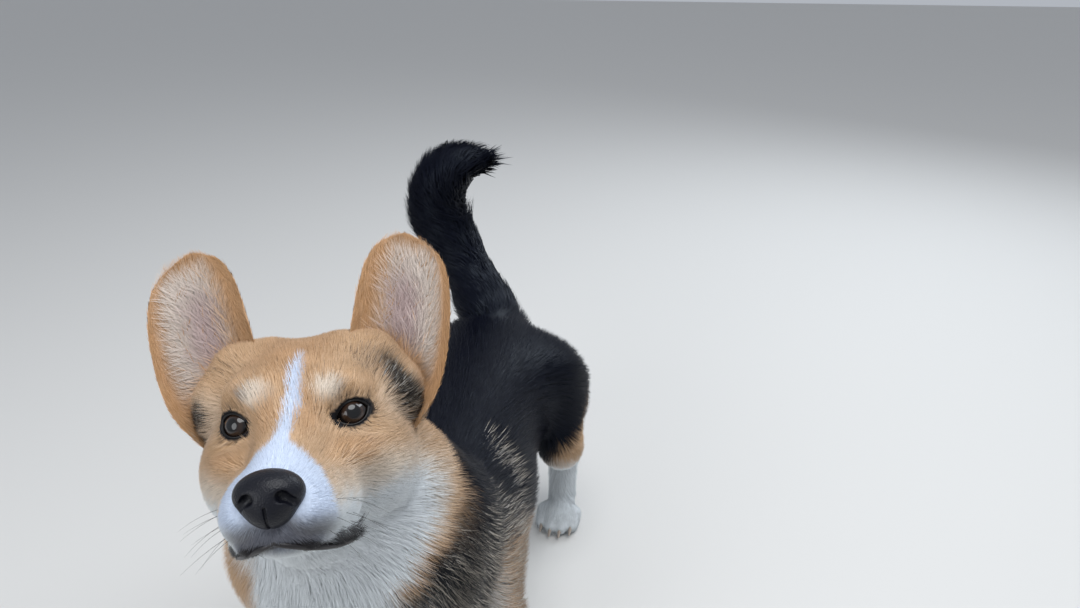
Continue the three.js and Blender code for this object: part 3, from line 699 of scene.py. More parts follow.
face_way = unit(head - (0, -78, -36))
face_way = leaning(face_way, unit(head - (0, 20, -40)), smooth_step(-10, 50, hy) * 0.5)
face_way = leaning(face_way, (0, 0.1, -0.75), smooth_step(-5, -45, hz) * smooth_step(-20, 30, hy))
face_way = leaning(face_way, (0, 0.5, -0.1), smooth_step(10, 40, hz))
eye_gaps = [head - on_side(s, EYE_AT) for s in (1, -1)]
eye_away = [np.linalg.norm(gap, axis=1) for gap in eye_gaps]
for gap, away in zip(eye_gaps, eye_away):
    face_way = leaning(face_way, unit(gap), SWIRL_PUSH * np.exp(-((away / EYE_SWIRL) ** 2)))
face_way = leaning(face_way, (0, 0.9, -0.35), smooth_step(-56, -66, hz))
near_eye = np.exp(-((np.minimum(*eye_away) / EYE_SWIRL) ** 4))

ear_way = np.zeros_like(head)
for s in (1, -1):
    mine = ear_side == s
    t, w, lift = ear_t[mine], ear_w[mine], ear_lift[mine]
    t_low, t_high = np.maximum(t - EAR_STEP, 0), np.minimum(t + EAR_STEP, 1)
    w_low, w_high = np.maximum(w - EAR_STEP, 0), np.minimum(w + EAR_STEP, 1)
    ahead = ear_points(s, t_high, w, lift) - ear_points(s, t_low, w, lift)
    out = ear_points(s, t, w_high, lift) - ear_points(s, t, w_low, lift)
    fan = np.where(lift < 0.5, (w - 0.45) * 2.4 * smooth_step(0.46, 0.3, np.abs(w - 0.5)), 0)
    ear_way[mine] = leaning(unit(ahead), unit(out), fan)

skull_middle = head_to_dog([[0, 40, -20]])[0]
neck_way = unit(dog - skull_middle) * (1, 1, 0.4) + (0, 0, -1.0)
trunk_way = leaning((0, 1, -0.1), (0, 0, -0.55), smooth_step(0.1, 0.8, np.abs(nx)))
buttock_share = smooth_step(345, 385, y) * smooth_step(250, 225, z)
chest_way = dog * (0.003, 0, 0) + (0, -0.05, -1)
tail_way = unit(np.gradient(tail_line, axis=0))[::TAIL_STRIDE][nearest_knot]
lie = mix(trunk_way, (0, 0.1, -1), buttock_share)
for way, share in (
    (chest_way, on_bib), (neck_way, on_neck), ((0, 0.75, -1), on_thigh), ((0, 0.12, -1), on_fore),
    ((0, 0.12, -1), on_hind), ((0, -1, -0.5), on_paw), (tail_way, on_tail), (face_way @ HEAD_AXES.T, on_head),
):
    lie = mix(lie, unit(way), share)
lie[on_ear] = (ear_way @ HEAD_AXES.T)[on_ear]
lie = unit(lie - dog_normal * np.sum(lie * dog_normal, axis=1)[:, None])


# The hair's length, its width and how high its tips stand over the skin, in millimetres.
# It is longest on tail, neck and chest, and shortest on muzzle, eyelids and ears.
hair = np.full((len(dog), 3), (32, 1.35, 9))
for share, length, width, rise in (
    (on_bib, 40, 1.5, 10), (on_neck, 42, 1.6, 13), (on_thigh, 30, 1.35, 10), (on_fore, 13, 1.1, 4),
    (on_hind, 12, 1.1, 4), (on_paw, 6.5, 0.9, 1.7), (on_tail, 54, 2.0, 22), (on_head, 8.5, 0.62, 2.7),
    (cheek_back, 25, 0.95, 9), (muzzle_share, 4.5, 0.5, 1.3), (near_eye, 4, 0.42, 0.7), (on_ear, 5, 0.6, 1.0),
    (ear_inside, 8, 0.36, 1.8),
):
    hair = mix(hair, (length, width, rise), share)
hair_length, hair_width, hair_rise = hair.T
tail_start = on_tail * smooth_step(0.34, 0.12, tail_place)
tail_end = on_tail * smooth_step(0.72, 0.92, tail_place)
tail_room = np.interp(tail_place, tail_t, tail_radius * (1 - tail_core))
low_thigh = on_thigh * smooth_step(215, 165, z)
ear_tip = on_ear * smooth_step(0.85, 0.97, ear_t)
hair_length = layered(hair_length, (28, tail_start), (30, tail_end), (18, low_thigh), (2.5, ear_tip))
hair_rise = layered(hair_rise, (tail_room * 0.95, on_tail), (7, tail_start), (4.5, low_thigh), (7, tail_end))
hair_free = np.maximum(tail_end, on_ear)


# The markings: black saddle and tail, tan face, ears and shoulders, white blaze, muzzle, bib and feet.
# They are the colours of the hair at its root, and of the skin below, laid over each other in turn; a few
# also hold painted light or shade.
BLACK = (0.0026, 0.0032, 0.0080)
TEMPLE_BLACK = (0.008, 0.0075, 0.008)
LIP_BLACK = (0.012, 0.010, 0.011)
RIM_BLACK = (0.004, 0.004, 0.006)
GRIZZLED = (0.012, 0.0115, 0.013)
DARK_BROWN = (0.085, 0.07, 0.06)
# stippled skin with painted shade under the nose
STIPPLE_AND_SHADE = (0.085, 0.08, 0.09)
BROW_GREY = (0.12, 0.12, 0.13)
SABLE = (0.20, 0.165, 0.13)
BROWN_TAN = (0.24, 0.158, 0.10)
TAN = (0.545, 0.355, 0.208)
DEEP_TAN = (0.45, 0.255, 0.125)
EAR_TAN = (0.56, 0.325, 0.165)
EAR_PALE = (0.66, 0.57, 0.50)
SHADED_PINK = (0.40, 0.285, 0.285)
CREAM = (0.72, 0.64, 0.54)
PALE_BROW = (0.72, 0.68, 0.61)
WHITE = (0.73, 0.77, 0.79)
# painted cool sky light: the white as it looks on faces that turn up to the sky
PAINTED_SKY_WHITE = (0.58, 0.66, 0.81)

# uneven edges, broad for the body and fine for the head
rough = ripple(dog, 26, 3) * 0.6 + ripple(dog, 9, 4) * 0.4
fine = ripple(dog, 5, 5)

# trunk and shoulders
low_edge = np.interp(y, [-60, 0, 60, 130, 210, 300, 400], [262, 250, 225, 178, 160, 182, 190])
saddle = smooth_step(-14, 12, z - low_edge + rough * 9)
white_drop = np.interp(y, [0, 70, 130, 210], [95, 95, 62, 50])
low_tan = smooth_step(0, 26, z - low_edge + white_drop + rough * 9)
streak_line = [(60, 108, 262), (80, 100, 244), (94, 90, 222), (101, 70, 200), (104, 46, 180)]
streak = smooth_step(19, 5, away_from(mirror_dog, streak_line) + rough * 6)
sable_line = [(66, -80, 282), (84, -50, 274), (92, -14, 262), (96, 20, 236)]
sable = smooth_step(66, 24, away_from(mirror_dog, sable_line) + rough * 8)
brown_line = [(92, 66, 222), (102, 44, 200), (100, 24, 172), (92, 10, 140)]
brown = smooth_step(26, 8, away_from(mirror_dog, brown_line) + rough * 6)
shoulder = 0.8 * smooth_step(130, 70, y) * smooth_step(84, 96, beside) * low_tan * (1 - saddle)
hair_width = hair_width * (1 - 0.4 * streak) * (1 - 0.25 * sable)

# legs; the black down the thigh's inner front is partly the saddle's and partly painted shade under the flank
fore_colour = mix(TAN, WHITE, smooth_step(96, 66, z + rough * 6))
front_tan = smooth_step(-10, 12, 18 + (beside - 92) * 1.5 + (y - 276) * 0.35 - (z - 155) + rough * 8)
rear_tan = smooth_step(-8, 8, y - np.interp(z, [118, 232], [300, 350]) + rough * 8)
edge_tan = np.maximum(np.maximum(front_tan, rear_tan), smooth_step(142, 126, z + rough * 6))
# black where the tan falls off: the saddle's colour, and painted shade on the inner front of the thigh
thigh_colour_and_shade = mix(BLACK, mix(TAN, WHITE, smooth_step(162, 130, z + rough * 6)), edge_tan)
outer_thigh = np.maximum(on_thigh, on_hind) * smooth_step(30, 45, beside)

# neck: white bib in front, a tan fringe at its sides, black behind, by the turn about the neck in degrees
turn = np.degrees(np.arctan2(x + 8, -(y + 18)))
left_edge = np.interp(z, [240, 298, 309, 323, 334, 352, 366], [31, 35, 42, 49, 59, 82, 100])
right_edge = np.interp(z, [250, 300, 356], [34, 30, 22])
bib_edge = np.where(turn > 0, left_edge, right_edge)
left_low = np.interp(turn, [34, 43, 49, 63, 82, 96, 106, 118], [288, 300, 313, 319, 323, 328, 345, 420])
right_low = np.interp(-turn, [30, 60, 85, 102, 116], [236, 252, 285, 330, 420])
fringe = smooth_step(bib_edge - 4, bib_edge + 4, np.abs(turn) + rough * 5)
behind = smooth_step(7, -8, z - np.where(turn > 0, left_low, right_low) + rough * 8)
neck_colour = layered(mix(WHITE, TAN, fringe), (mix(BLACK, GRIZZLED, sable), behind * fringe))
front_bib = smooth_step(30, 0, y) * smooth_step(70, 52, np.abs(x + 4) + rough * 5) * smooth_step(300, 250, z)
front_bib = front_bib * (1 - on_fore) * smooth_step(-0.2, -0.5, ny)

# head
crown = 0.75 * smooth_step(8, 40, hz) * smooth_step(34, 10, head_beside + fine * 4)
face = layered(TAN, (DEEP_TAN, crown), (DEEP_TAN, 0.45 * smooth_step(60, 90, hy)))
rough_head = head + fine[:, None]
for colour, strength, places, at, half_size, soft in (
    (PALE_BROW, 0.62, rough_head, (23, -13, 13), (8.5, 10, 7.5), 1.1),
    (PALE_BROW, 0.62, rough_head, (-18, -13, 14), (8.5, 10, 7.5), 1.1),
    (CREAM, 0.55, mirror_head, (46, -8, -42), (26, 24, 16), 1.1),
    (CREAM, 0.3, mirror_head, (60, 30, 2), (16, 22, 16), 1.0),
    (DEEP_TAN, 0.55, mirror_head, (38, -22, -20), (15, 16, 9), 1.2),
    (DEEP_TAN, 0.5, mirror_head, (11, -22, 2), (6, 18, 14), 1.1),
    (BROW_GREY, 0.6, rough_head, (29, -11, 13), (3.2, 5, 4.5), 1.0),
    (BROW_GREY, 0.6, rough_head, (-25, -10, 13), (3.2, 5, 4.5), 1.0),
    (SABLE, 0.3, head, (46, 30, 26), (14, 20, 9), 1.0),
):
    face = mix(face, colour, strength * spot(places, at, half_size, soft))
left_temple = away_from(head, [(51, 31, 28), (60, 32, 10), (67, 40, -7)])
left_temple = left_temple - np.interp(hz, [-10, 8, 30], [9.5, 8, 3])
right_temple = away_from(head, [(-63, 34, 5), (-65, 39, -4), (-67, 42, -10)]) - 7
temple = smooth_step(4, -3, np.where(hx > 0, left_temple, right_temple) + fine * 2)
cheek_line = np.interp(
    hy, [-60, -40, -29, -14, -3, 10, 30, 46, 62], [-40, -38, -42, -43, -40, -37, -37, -42, -50],
)
white_limit = np.interp(hz, [-112, -100, -86, -72, -45, -25], [34, 42, 50, 60, 69, 72])
lower_white = smooth_step(5, -11, hz - cheek_line + fine * 2.5)
lower_white = lower_white * smooth_step(4, -5, head_beside - white_limit + fine * 3)
cream = smooth_step(20, -4, hz - cheek_line + fine * 3) * smooth_step(12, -4, head_beside - white_limit)
ear_foot = 0.85 * smooth_step(9, 3, away_from(mirror_head, [(75, 50, -12), (79, 60, -28), (77, 68, -46)]))
muzzle_edge = np.interp(head_beside, [0, 8, 16, 21, 25, 30], [45, 46, 46, 49, 57, 62])
muzzle_edge = muzzle_edge + np.minimum(hz + 40, 0) * 0.5
muzzle_white = smooth_step(-3.5, 2.5, -hy - muzzle_edge + fine * 1.2)
blaze_middle = np.interp(hy, [-42, -24, -9, 9], [0.5, 2, 4.5, 5.5])
blaze_half = np.interp(hy, [-46, -41, -30, -20, -9, 0, 10, 15], [7, 4.5, 3.2, 3.7, 4.4, 3.1, 1.0, -1])
blaze = smooth_step(1.0, -1.0, np.abs(hx - blaze_middle) - blaze_half + fine * 0.5) * (hz > -30)
# white of the muzzle and blaze, bluer on its upward faces as a painted reflection of the cool sky
white_with_painted_sky = mix(WHITE, PAINTED_SKY_WHITE, smooth_step(-0.3, 0.4, nz))
# grey under the nose down to the lip: stippled skin, and painted shade under the nose's overhang
stipple_and_shade = 0.9 * spot(rough_head, (1, -70, -55), (30, 18, 11), 1.0)
lip_low = np.interp(hy, [-68, -60, -40, -18], [-57, -61, -65, -67])
lip_dark = smooth_step(8.5, 6.5, away_from(mirror_head, LIP_LINE))
lip_dark = lip_dark * smooth_step(2.2, -0.4, hz - lip_low + fine * 0.6) * (1 - on_ear)
lip_corner = smooth_step(9, 6, away_from(mirror_head, [(28, -50, -66), (36, -20, -69)]) + fine * 1.2)
lip_dark = np.maximum(lip_dark, lip_corner * 0.95)
face = layered(
    face, (TEMPLE_BLACK, temple * 0.97), (CREAM, cream * 0.75), (DEEP_TAN, ear_foot), (WHITE, lower_white),
    (white_with_painted_sky, np.maximum(muzzle_white, blaze)), (STIPPLE_AND_SHADE, stipple_and_shade), (LIP_BLACK, lip_dark),
)
nape_sides = smooth_step(30, 46, head_beside + rough * 5) * smooth_step(-48, -22, hz)
nape = smooth_step(58, 84, hy + rough * 6) * (1 - nape_sides)
nape = np.maximum(nape, smooth_step(-72, -92, hz) * smooth_step(10, 30, hy))

# ears: tan behind and round the rim, pale hair over pink skin inside, darker pink low in the cup as pink skin
# and painted shade
across_ear, up_ear = ear_w + fine * 0.02, ear_t + fine * 0.02
rim = np.maximum(smooth_step(0.36, 0.13, across_ear), smooth_step(0.76, 0.93, across_ear))
rim = np.maximum(rim, smooth_step(0.64, 0.88, up_ear))
rim = np.maximum(rim, smooth_step(0.26, 0.16, ear_t))
# low in the cup: pink skin where the hair is thin, and painted shade in the hollow
low_pink_and_shade = spot(np.stack([ear_w, ear_t, ear_t * 0], 1), (0.45, 0.33, 0), (0.17, 0.20, 1), 1.1)
inner_ear = layered(EAR_PALE, (SHADED_PINK, low_pink_and_shade * 0.75), (EAR_TAN, rim))

coat_colour = layered(
    mix(WHITE, TAN, low_tan), (WHITE, on_bib), (BLACK, saddle), (GRIZZLED, sable * saddle),
    (DARK_BROWN, brown * 0.85), (BROWN_TAN, shoulder), (fore_colour, on_fore), (thigh_colour_and_shade, outer_thigh),
    (WHITE, np.maximum(on_paw, belly)), (BLACK, on_tail), (neck_colour, on_neck), (WHITE, front_bib),
    (mix(face, neck_colour, nape), on_head * (1 - on_ear)),
)
coat_colour = np.where(on_ear[:, None], mix(EAR_TAN, inner_ear, ear_inside), coat_colour)
almond_gap = np.full(len(dog), 99.0)
for s in (1, -1):
    u, v, forward, _ = beside_eye(s, hx, hy, hz)
    gap = almond(u, v) - np.minimum(np.abs(u / EYE_HALF), 1.3) ** 4 * 1.1
    almond_gap = np.where(forward > 0, np.minimum(almond_gap, gap), almond_gap)
tan_face = smooth_step(0.13, 0.2, coat_colour[:, 0] - coat_colour[:, 2]) * (1 - on_ear)
coat_colour = mix(coat_colour, RIM_BLACK, smooth_step(2.9, 1.5, almond_gap + fine * 0.3) * (1 - on_ear))
bare = np.maximum(on_ear * low_pink_and_shade * ear_inside * 0.85 + lip_dark * 0.8, smooth_step(1.9, 1.0, almond_gap))
bare = np.clip(bare, 0, 1)

# the share of banded pale hairs, or of dark ones where it is below nothing
grizzle = np.maximum(streak * 0.55, brown * 0.45)
grizzle = np.maximum(sable * 0.42 * np.where(on_neck > 0.5, behind, 1), grizzle) * (1 - on_tail)
fleck = 0.05 + np.where(hx > 0, 0.13, 0.05) * spot(mirror_head, (44, 30, 26), (18, 22, 12), 1.0)
grizzle = mix(grizzle, temple * 0.22 - fleck * tan_face, on_head)


# The skin's finished mesh: in the frame's metres, with all that the coat reads at each point.
# Its leather is matt and finely grained, smoother where it is bare. It takes the place of the flesh's
# solids and rides on the one body.
class Wires:
    """Adds nodes to a tree and joins them as they are made."""

    def __init__(self, tree):
        self.tree = tree

    def join(self, value, socket):
        if isinstance(value, bpy.types.NodeSocket):
            self.tree.links.new(value, socket)
        else:
            socket.default_value = value

    def node(self, kind, inputs=None, **settings):
        made = self.tree.nodes.new(kind)
        for name, value in settings.items():
            setattr(made, name, value)
        for place, value in (inputs or {}).items():
            self.join(value, made.inputs[place])
        return made

    def math(self, operation, *values):
        return self.node("ShaderNodeMath", dict(enumerate(values)), operation=operation).outputs[0]

    def times(self, a, b):
        return self.math("MULTIPLY", a, b)

    def line(self, value, slope, start):
        """value times slope, plus start."""
        return self.math("MULTIPLY_ADD", value, slope, start)

    def centred(self, share):
        return self.math("SUBTRACT", share, 0.5)

    def vector(self, operation, *values):
        return self.node("ShaderNodeVectorMath", dict(enumerate(values)), operation=operation).outputs[0]

    def plus(self, a, b):
        return self.vector("ADD", a, b)

    def scaled(self, vector, factor):
        inputs = {0: vector, "Scale": factor}
        return self.node("ShaderNodeVectorMath", inputs, operation="SCALE").outputs[0]

    def noise(self, place, scale, detail):
        return self.node("ShaderNodeTexNoise", {"Vector": place, "Scale": scale, "Detail": detail}).outputs[0]

    def place(self):
        return self.node("ShaderNodeTexCoord").outputs["Object"]

    def painted(self, name, output="Fac"):
        """A stored value of the mesh, read in a material."""
        return self.node("ShaderNodeAttribute", attribute_name=name).outputs[output]

    def toned(self, colour, value, **more):
        return self.node("ShaderNodeHueSaturation", {"Color": colour, "Value": value, **more}).outputs[0]

    def bump(self, shader, height, strength, distance):
        inputs = {"Height": height, "Strength": strength, "Distance": distance}
        self.join(self.node("ShaderNodeBump", inputs).outputs[0], shader.inputs["Normal"])


def store(mesh, name, values):
    values = np.asarray(values, np.float32)
    if values.ndim == 1:
        mesh.attributes.new(name, "FLOAT", "POINT").data.foreach_set("value", values)
    elif values.shape[1] == 3:
        mesh.attributes.new(name, "FLOAT_VECTOR", "POINT").data.foreach_set("vector", values.ravel())
    else:
        mesh.attributes.new(name, "FLOAT_COLOR", "POINT").data.foreach_set("color", values.ravel())


def skin_material():
    made, shader = new_material("skin", {"Specular IOR Level": 0.2})
    w = Wires(made.node_tree)
    grain = w.noise(w.place(), 900.0, 4.0)
    toned = w.toned(w.painted("coat_colour", "Color"), w.line(grain, 0.35, 0.68))
    w.join(toned, shader.inputs["Base Color"])
    w.join(w.line(w.painted("bare"), -0.2, 0.66), shader.inputs["Roughness"])
    w.bump(shader, grain, 0.35, 0.0006)
    return made


skin.data.vertices.foreach_set("co", to_frame(dog).astype(np.float32).ravel())
skin.data.shade_smooth()
skin.data.update()
for name, values in {
    "coat_colour": np.hstack([np.clip(coat_colour, 0, 1), np.ones((len(dog), 1))]), "lie": lie,
    "skin_normal": dog_normal, "hair_length": hair_length * MM, "hair_width": hair_width * MM,
    "hair_rise": hair_rise * MM, "hair_free": hair_free, "bare": bare, "grizzle": grizzle,
}.items():
    store(skin.data, name, values)
skin.data.materials.append(skin_material())
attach(skin, "root")
limbs = ("foreleg", "forepaw", "thigh", "shank", "hindpaw")
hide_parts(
    "torso", "neck", "head", "lower_jaw", "left_ear", "right_ear",
    "tail_root", "tail_middle", "tail_tip",
    *[f"{side}_{limb}" for side in ("left", "right") for limb in limbs],
)


# The coat: flat tapered tufts of hair set over the skin, each lying along it and following its shape.
# A tuft is a closed three-sided blade, short with one ring of points or long with two, that runs to
# a tip. One tree of nodes plants, lays and lifts them all.
SHORT_RINGS = ((0.0, 1.0, 0.35),)
LONG_RINGS = ((0.0, 0.8, 0.25), (0.5, 1.0, 0.28))
FLOOR_GAP = 0.0003
WANDER = 45.0
LENGTH_VARIES, LEAST_LENGTH = 0.6, 0.7
RISE_VARIES, LEAST_RISE = 0.45, 0.65
BEND = 0.45
SUNK = 0.2
CLUMP_CURVE = 1.6
VECTOR, COLOUR = "FLOAT_VECTOR", "FLOAT_COLOR"


def tuft(name, rings):
    """One tuft, whose points know their place along, across and up."""
    places = []
    for t, width, height in rings:
        places += [(-width / 2, t, 0), (width / 2, t, 0), (0, t, height)]
    places.append((0, 1, 0))
    tip = len(places) - 1
    faces = ring_faces(len(rings), 3)
    faces += [(tip - 3 + k, tip - 3 + (k + 1) % 3, tip) for k in range(3)]
    faces.append((2, 1, 0))
    mesh = bpy.data.meshes.new(name)
    mesh.from_pydata(places, [], faces)
    for key, values in zip(("across", "along", "ridge"), zip(*places)):
        store(mesh, key, values)
    mesh.shade_smooth()
    return bpy.data.objects.new(name, mesh)


class FurWires(Wires):
    """The same for a tree that makes shapes, with the values that its points carry."""

    def named(self, name, kind="FLOAT"):
        made = self.node("GeometryNodeInputNamedAttribute", {"Name": name}, data_type=kind)
        return made.outputs["Attribute"]

    def stored(self, geometry, name, value, kind="FLOAT"):
        inputs = {"Geometry": geometry, "Name": name, "Value": value}
        made = self.node("GeometryNodeStoreNamedAttribute", inputs, data_type=kind, domain="POINT")
        return made.outputs["Geometry"]

    def sampled(self, mesh, value, place, kind):
        inputs = {"Mesh": mesh, "Value": value, "Sample Position": place}
        return self.node("GeometryNodeSampleNearestSurface", inputs, data_type=kind).outputs["Value"]


def coat_tree():
    tree = bpy.data.node_groups.new("coat", "GeometryNodeTree")
    for name, kind, value in (
        ("Geometry", "Geometry", None), ("Tuft", "Object", None), ("Material", "Material", None),
        ("Density", "Float", 1e5), ("Seed", "Int", 1), ("Spread", "Float", 0.25),
        ("Clump Size", "Float", 0.006), ("Clump Pull", "Float", 0.5), ("Loft", "Float", 1.0),
        ("Stretch", "Float", 1.0), ("Mingle", "Float", 0.25),
    ):
        made = tree.interface.new_socket(name, in_out="INPUT", socket_type="NodeSocket" + kind)
        if value is not None:
            made.default_value = value
    tree.interface.new_socket("Geometry", in_out="OUTPUT", socket_type="NodeSocketGeometry")
    w = FurWires(tree)
    given = w.node("NodeGroupInput").outputs
    mesh = given["Geometry"]

    # roots, each with its own chance number, its way to lie, and its colour from a little beside it
    density = w.times(given["Density"], w.named("here"))
    planted = {"Mesh": mesh, "Density": density, "Seed": given["Seed"]}
    points = w.node("GeometryNodeDistributePointsOnFaces", planted).outputs["Points"]
    place = w.node("GeometryNodeInputPosition").outputs[0]
    lots = {"Vector": w.scaled(place, 1000.0), "W": 0.37}
    chance = w.node("ShaderNodeTexWhiteNoise", lots, noise_dimensions="4D")
    lot = chance.outputs["Value"]
    yaw = w.times(w.centred(lot), given["Spread"])
    yaw = w.math("ADD", yaw, w.times(w.centred(w.noise(place, WANDER, 2.0)), given["Spread"]))
    yaw = w.times(yaw, 2.0)
    lie, normal = w.named("lie", VECTOR), w.named("skin_normal", VECTOR)
    aside = w.vector("CROSS_PRODUCT", normal, lie)
    way = w.plus(w.scaled(lie, w.math("COSINE", yaw)), w.scaled(aside, w.math("SINE", yaw)))
    for name, value in (("way", way), ("root", place), ("root_normal", normal)):
        points = w.stored(points, name, value, VECTOR)
    points = w.stored(points, "lot", lot)
    stray = w.vector("SUBTRACT", chance.outputs["Color"], (0.5, 0.5, 0.5))
    near = w.plus(place, w.scaled(stray, w.times(w.named("hair_length"), given["Mingle"])))
    for name, kind in (("coat_colour", COLOUR), ("grizzle", "FLOAT")):
        points = w.stored(points, name, w.sampled(mesh, w.named(name, kind), near, kind), kind)
    blade = w.node("GeometryNodeObjectInfo", {"Object": given["Tuft"], "As Instance": False})
    blades = {"Points": points, "Instance": blade.outputs["Geometry"]}
    hair = w.node("GeometryNodeInstanceOnPoints", blades).outputs["Instances"]
    hair = w.node("GeometryNodeRealizeInstances", {"Geometry": hair}).outputs[0]

    # each tuft laid along the skin, its tip drawn to its clump's middle
    along, across, ridge, lot = (w.named(name) for name in ("along", "across", "ridge", "lot"))
    root, way = w.named("root", VECTOR), w.named("way", VECTOR)
    length = w.times(w.named("hair_length"), w.line(lot, LENGTH_VARIES, LEAST_LENGTH))
    length = w.times(length, given["Stretch"])
    clump_scale = w.math("DIVIDE", 1.0, given["Clump Size"])
    clump = w.node("ShaderNodeTexVoronoi", {"Vector": root, "Scale": clump_scale, "Randomness": 1.0})
    pull = w.times(given["Clump Pull"], w.math("POWER", along, CLUMP_CURVE))
    laid = w.plus(root, w.scaled(way, w.times(length, along)))
    laid = w.plus(laid, w.scaled(w.vector("SUBTRACT", clump.outputs["Position"], root), pull))

    # and lifted over the skin below it, but for the tips that stand free
    free = w.named("hair_free")
    on_skin = w.sampled(mesh, w.node("GeometryNodeInputPosition").outputs[0], laid, VECTOR)
    on_skin = w.plus(on_skin, w.scaled(w.vector("SUBTRACT", laid, on_skin), free))
    up = w.sampled(mesh, w.named("skin_normal", VECTOR), laid, VECTOR)
    off = w.vector("SUBTRACT", w.named("root_normal", VECTOR), up)
    up = w.vector("NORMALIZE", w.plus(up, w.scaled(off, free)))
    curve = w.times(along, w.line(along, -BEND, 1 + BEND))
    rise = w.times(w.times(w.named("hair_rise"), given["Loft"]), w.line(lot, RISE_VARIES, LEAST_RISE))
    width = w.named("hair_width")
    height = w.line(rise, curve, w.times(width, w.math("SUBTRACT", ridge, SUNK)))
    side = w.vector("NORMALIZE", w.vector("CROSS_PRODUCT", up, way))
    final = w.plus(on_skin, w.scaled(up, height))
    final = w.plus(final, w.scaled(side, w.times(width, across)))
    final = w.vector("MAXIMUM", final, (-1.0, -1.0, FLOOR_GAP))
    hair = w.stored(hair, "form_normal", up, VECTOR)
    hair = w.node("GeometryNodeSetPosition", {"Geometry": hair, "Position": final}).outputs[0]
    hair = w.node("GeometryNodeSetMaterial", {"Geometry": hair, "Material": given["Material"]}).outputs[0]
    w.join(hair, w.node("NodeGroupOutput").inputs[0])
    return tree


MAP_MARGIN = 0.01
OFF_LINE = (0.9, 0.2, 0.35)
PAST_END = 9


def bake_places(points, line):
    """Turn about a line and place along it, as map coordinates from 0 to 1."""
    line = np.asarray(line, float)
    reach = np.concatenate([[0], np.cumsum(np.linalg.norm(np.diff(line, axis=0), axis=1))])
    best = np.full(len(points), 1e9)
    turn, along = np.zeros((2, len(points)))
    for i, (a, b) in enumerate(zip(line[:-1], line[1:])):
        span = b - a
        t = (points - a) @ span / (span @ span)
        t = np.clip(t, 0 if i else -PAST_END, 1 if i < len(line) - 2 else PAST_END)
        arm = points - a - t[:, None] * span
        away = np.linalg.norm(arm, axis=1)
        first = unit(np.cross(span, OFF_LINE))
        second = unit(np.cross(span, first))
        closer = away < best
        best = np.minimum(best, away)
        turn = np.where(closer, np.arctan2(arm @ second, arm @ first), turn)
        along = np.where(closer, reach[i] + t * np.linalg.norm(span), along)
    low, high = along.min(), along.max()
    places = np.stack([turn / (2 * math.pi) + 0.5, (along - low) / (high - low)], 1)
    return MAP_MARGIN + (1 - 2 * MAP_MARGIN) * places


# The hair's colour: the stored markings, varied from tuft to tuft and darker at the root as painted shade
# deep in the coat, with banded pale hairs or dark ones among them. Hair is soft and hardly glossy, with a
# cool sheen.
HAIR_LOOKS = {"Specular IOR Level": 0.13, "Specular Tint": (0.75, 0.88, 1.0, 1.0)}
BAND_ENDS = ((0.10, 0.09, 0.08, 1), (0.04, 0.035, 0.03, 1))
BANDS = ((0.25, (0.44, 0.44, 0.44, 1)), (0.75, (0.42, 0.375, 0.31, 1)))
DARK_HAIR = (0.07, 0.055, 0.045, 1)
SHARP = 12.0


def ramp(w, value, ends, stops):
    made = w.node("ShaderNodeValToRGB", {0: value})
    for element, shade in zip(made.color_ramp.elements, ends):
        element.color = shade
    for where, shade in stops:
        made.color_ramp.elements.new(where).color = shade
    return made


def fur_shade():
    tree = bpy.data.node_groups.new("fur_shade", "ShaderNodeTree")
    tree.interface.new_socket("Variety", in_out="INPUT", socket_type="NodeSocketFloat").default_value = 0.3
    tree.interface.new_socket("Colour", in_out="OUTPUT", socket_type="NodeSocketColor")
    tree.interface.new_socket("Roughness", in_out="OUTPUT", socket_type="NodeSocketFloat")
    w = Wires(tree)
    given = w.node("NodeGroupInput").outputs
    colour = w.painted("coat_colour", "Color")
    lot, along, grizzle = (w.painted(name) for name in ("lot", "along", "grizzle"))
    chance = w.math("ADD", w.centred(lot), w.centred(w.noise(w.place(), 60.0, 3.0)))
    bright = w.node("ShaderNodeRGBToBW", {"Color": colour}).outputs[0]
    value = w.line(chance, w.times(given["Variety"], w.line(bright, -0.8, 1.0)), 1.0)
    # painted shade: each tuft darker towards its root
    value = w.times(value, w.line(along, 0.2, 0.87))
    result = w.toned(colour, value, Saturation=w.line(lot, -0.2, 1.1))
    other_lot = w.math("FRACT", w.times(lot, 61.7))
    pale = w.toned(ramp(w, along, BAND_ENDS, BANDS).outputs[0], w.line(lot, 0.8, 0.5))
    for share, shade in ((grizzle, pale), (w.times(grizzle, -1.0), DARK_HAIR)):
        chosen = w.times(w.math("SUBTRACT", share, other_lot), SHARP)
        mixed = w.node("ShaderNodeMix", {"Factor": chosen}, data_type="RGBA", clamp_factor=True)
        w.join(result, mixed.inputs[6])
        w.join(shade, mixed.inputs[7])
        result = mixed.outputs[2]
    out = w.node("NodeGroupOutput")
    w.join(result, out.inputs["Colour"])
    w.join(w.line(bright, 0.25, 0.36), out.inputs["Roughness"])
    return tree


shade_tree = fur_shade()


def coat_material(name, variety):
    made, shader = new_material(name, HAIR_LOOKS)
    shade = Wires(made.node_tree).node("ShaderNodeGroup", node_tree=shade_tree)
    shade.inputs["Variety"].default_value = variety
    made.node_tree.links.new(shade.outputs["Colour"], shader.inputs["Base Color"])
    made.node_tree.links.new(shade.outputs["Roughness"], shader.inputs["Roughness"])
    return made


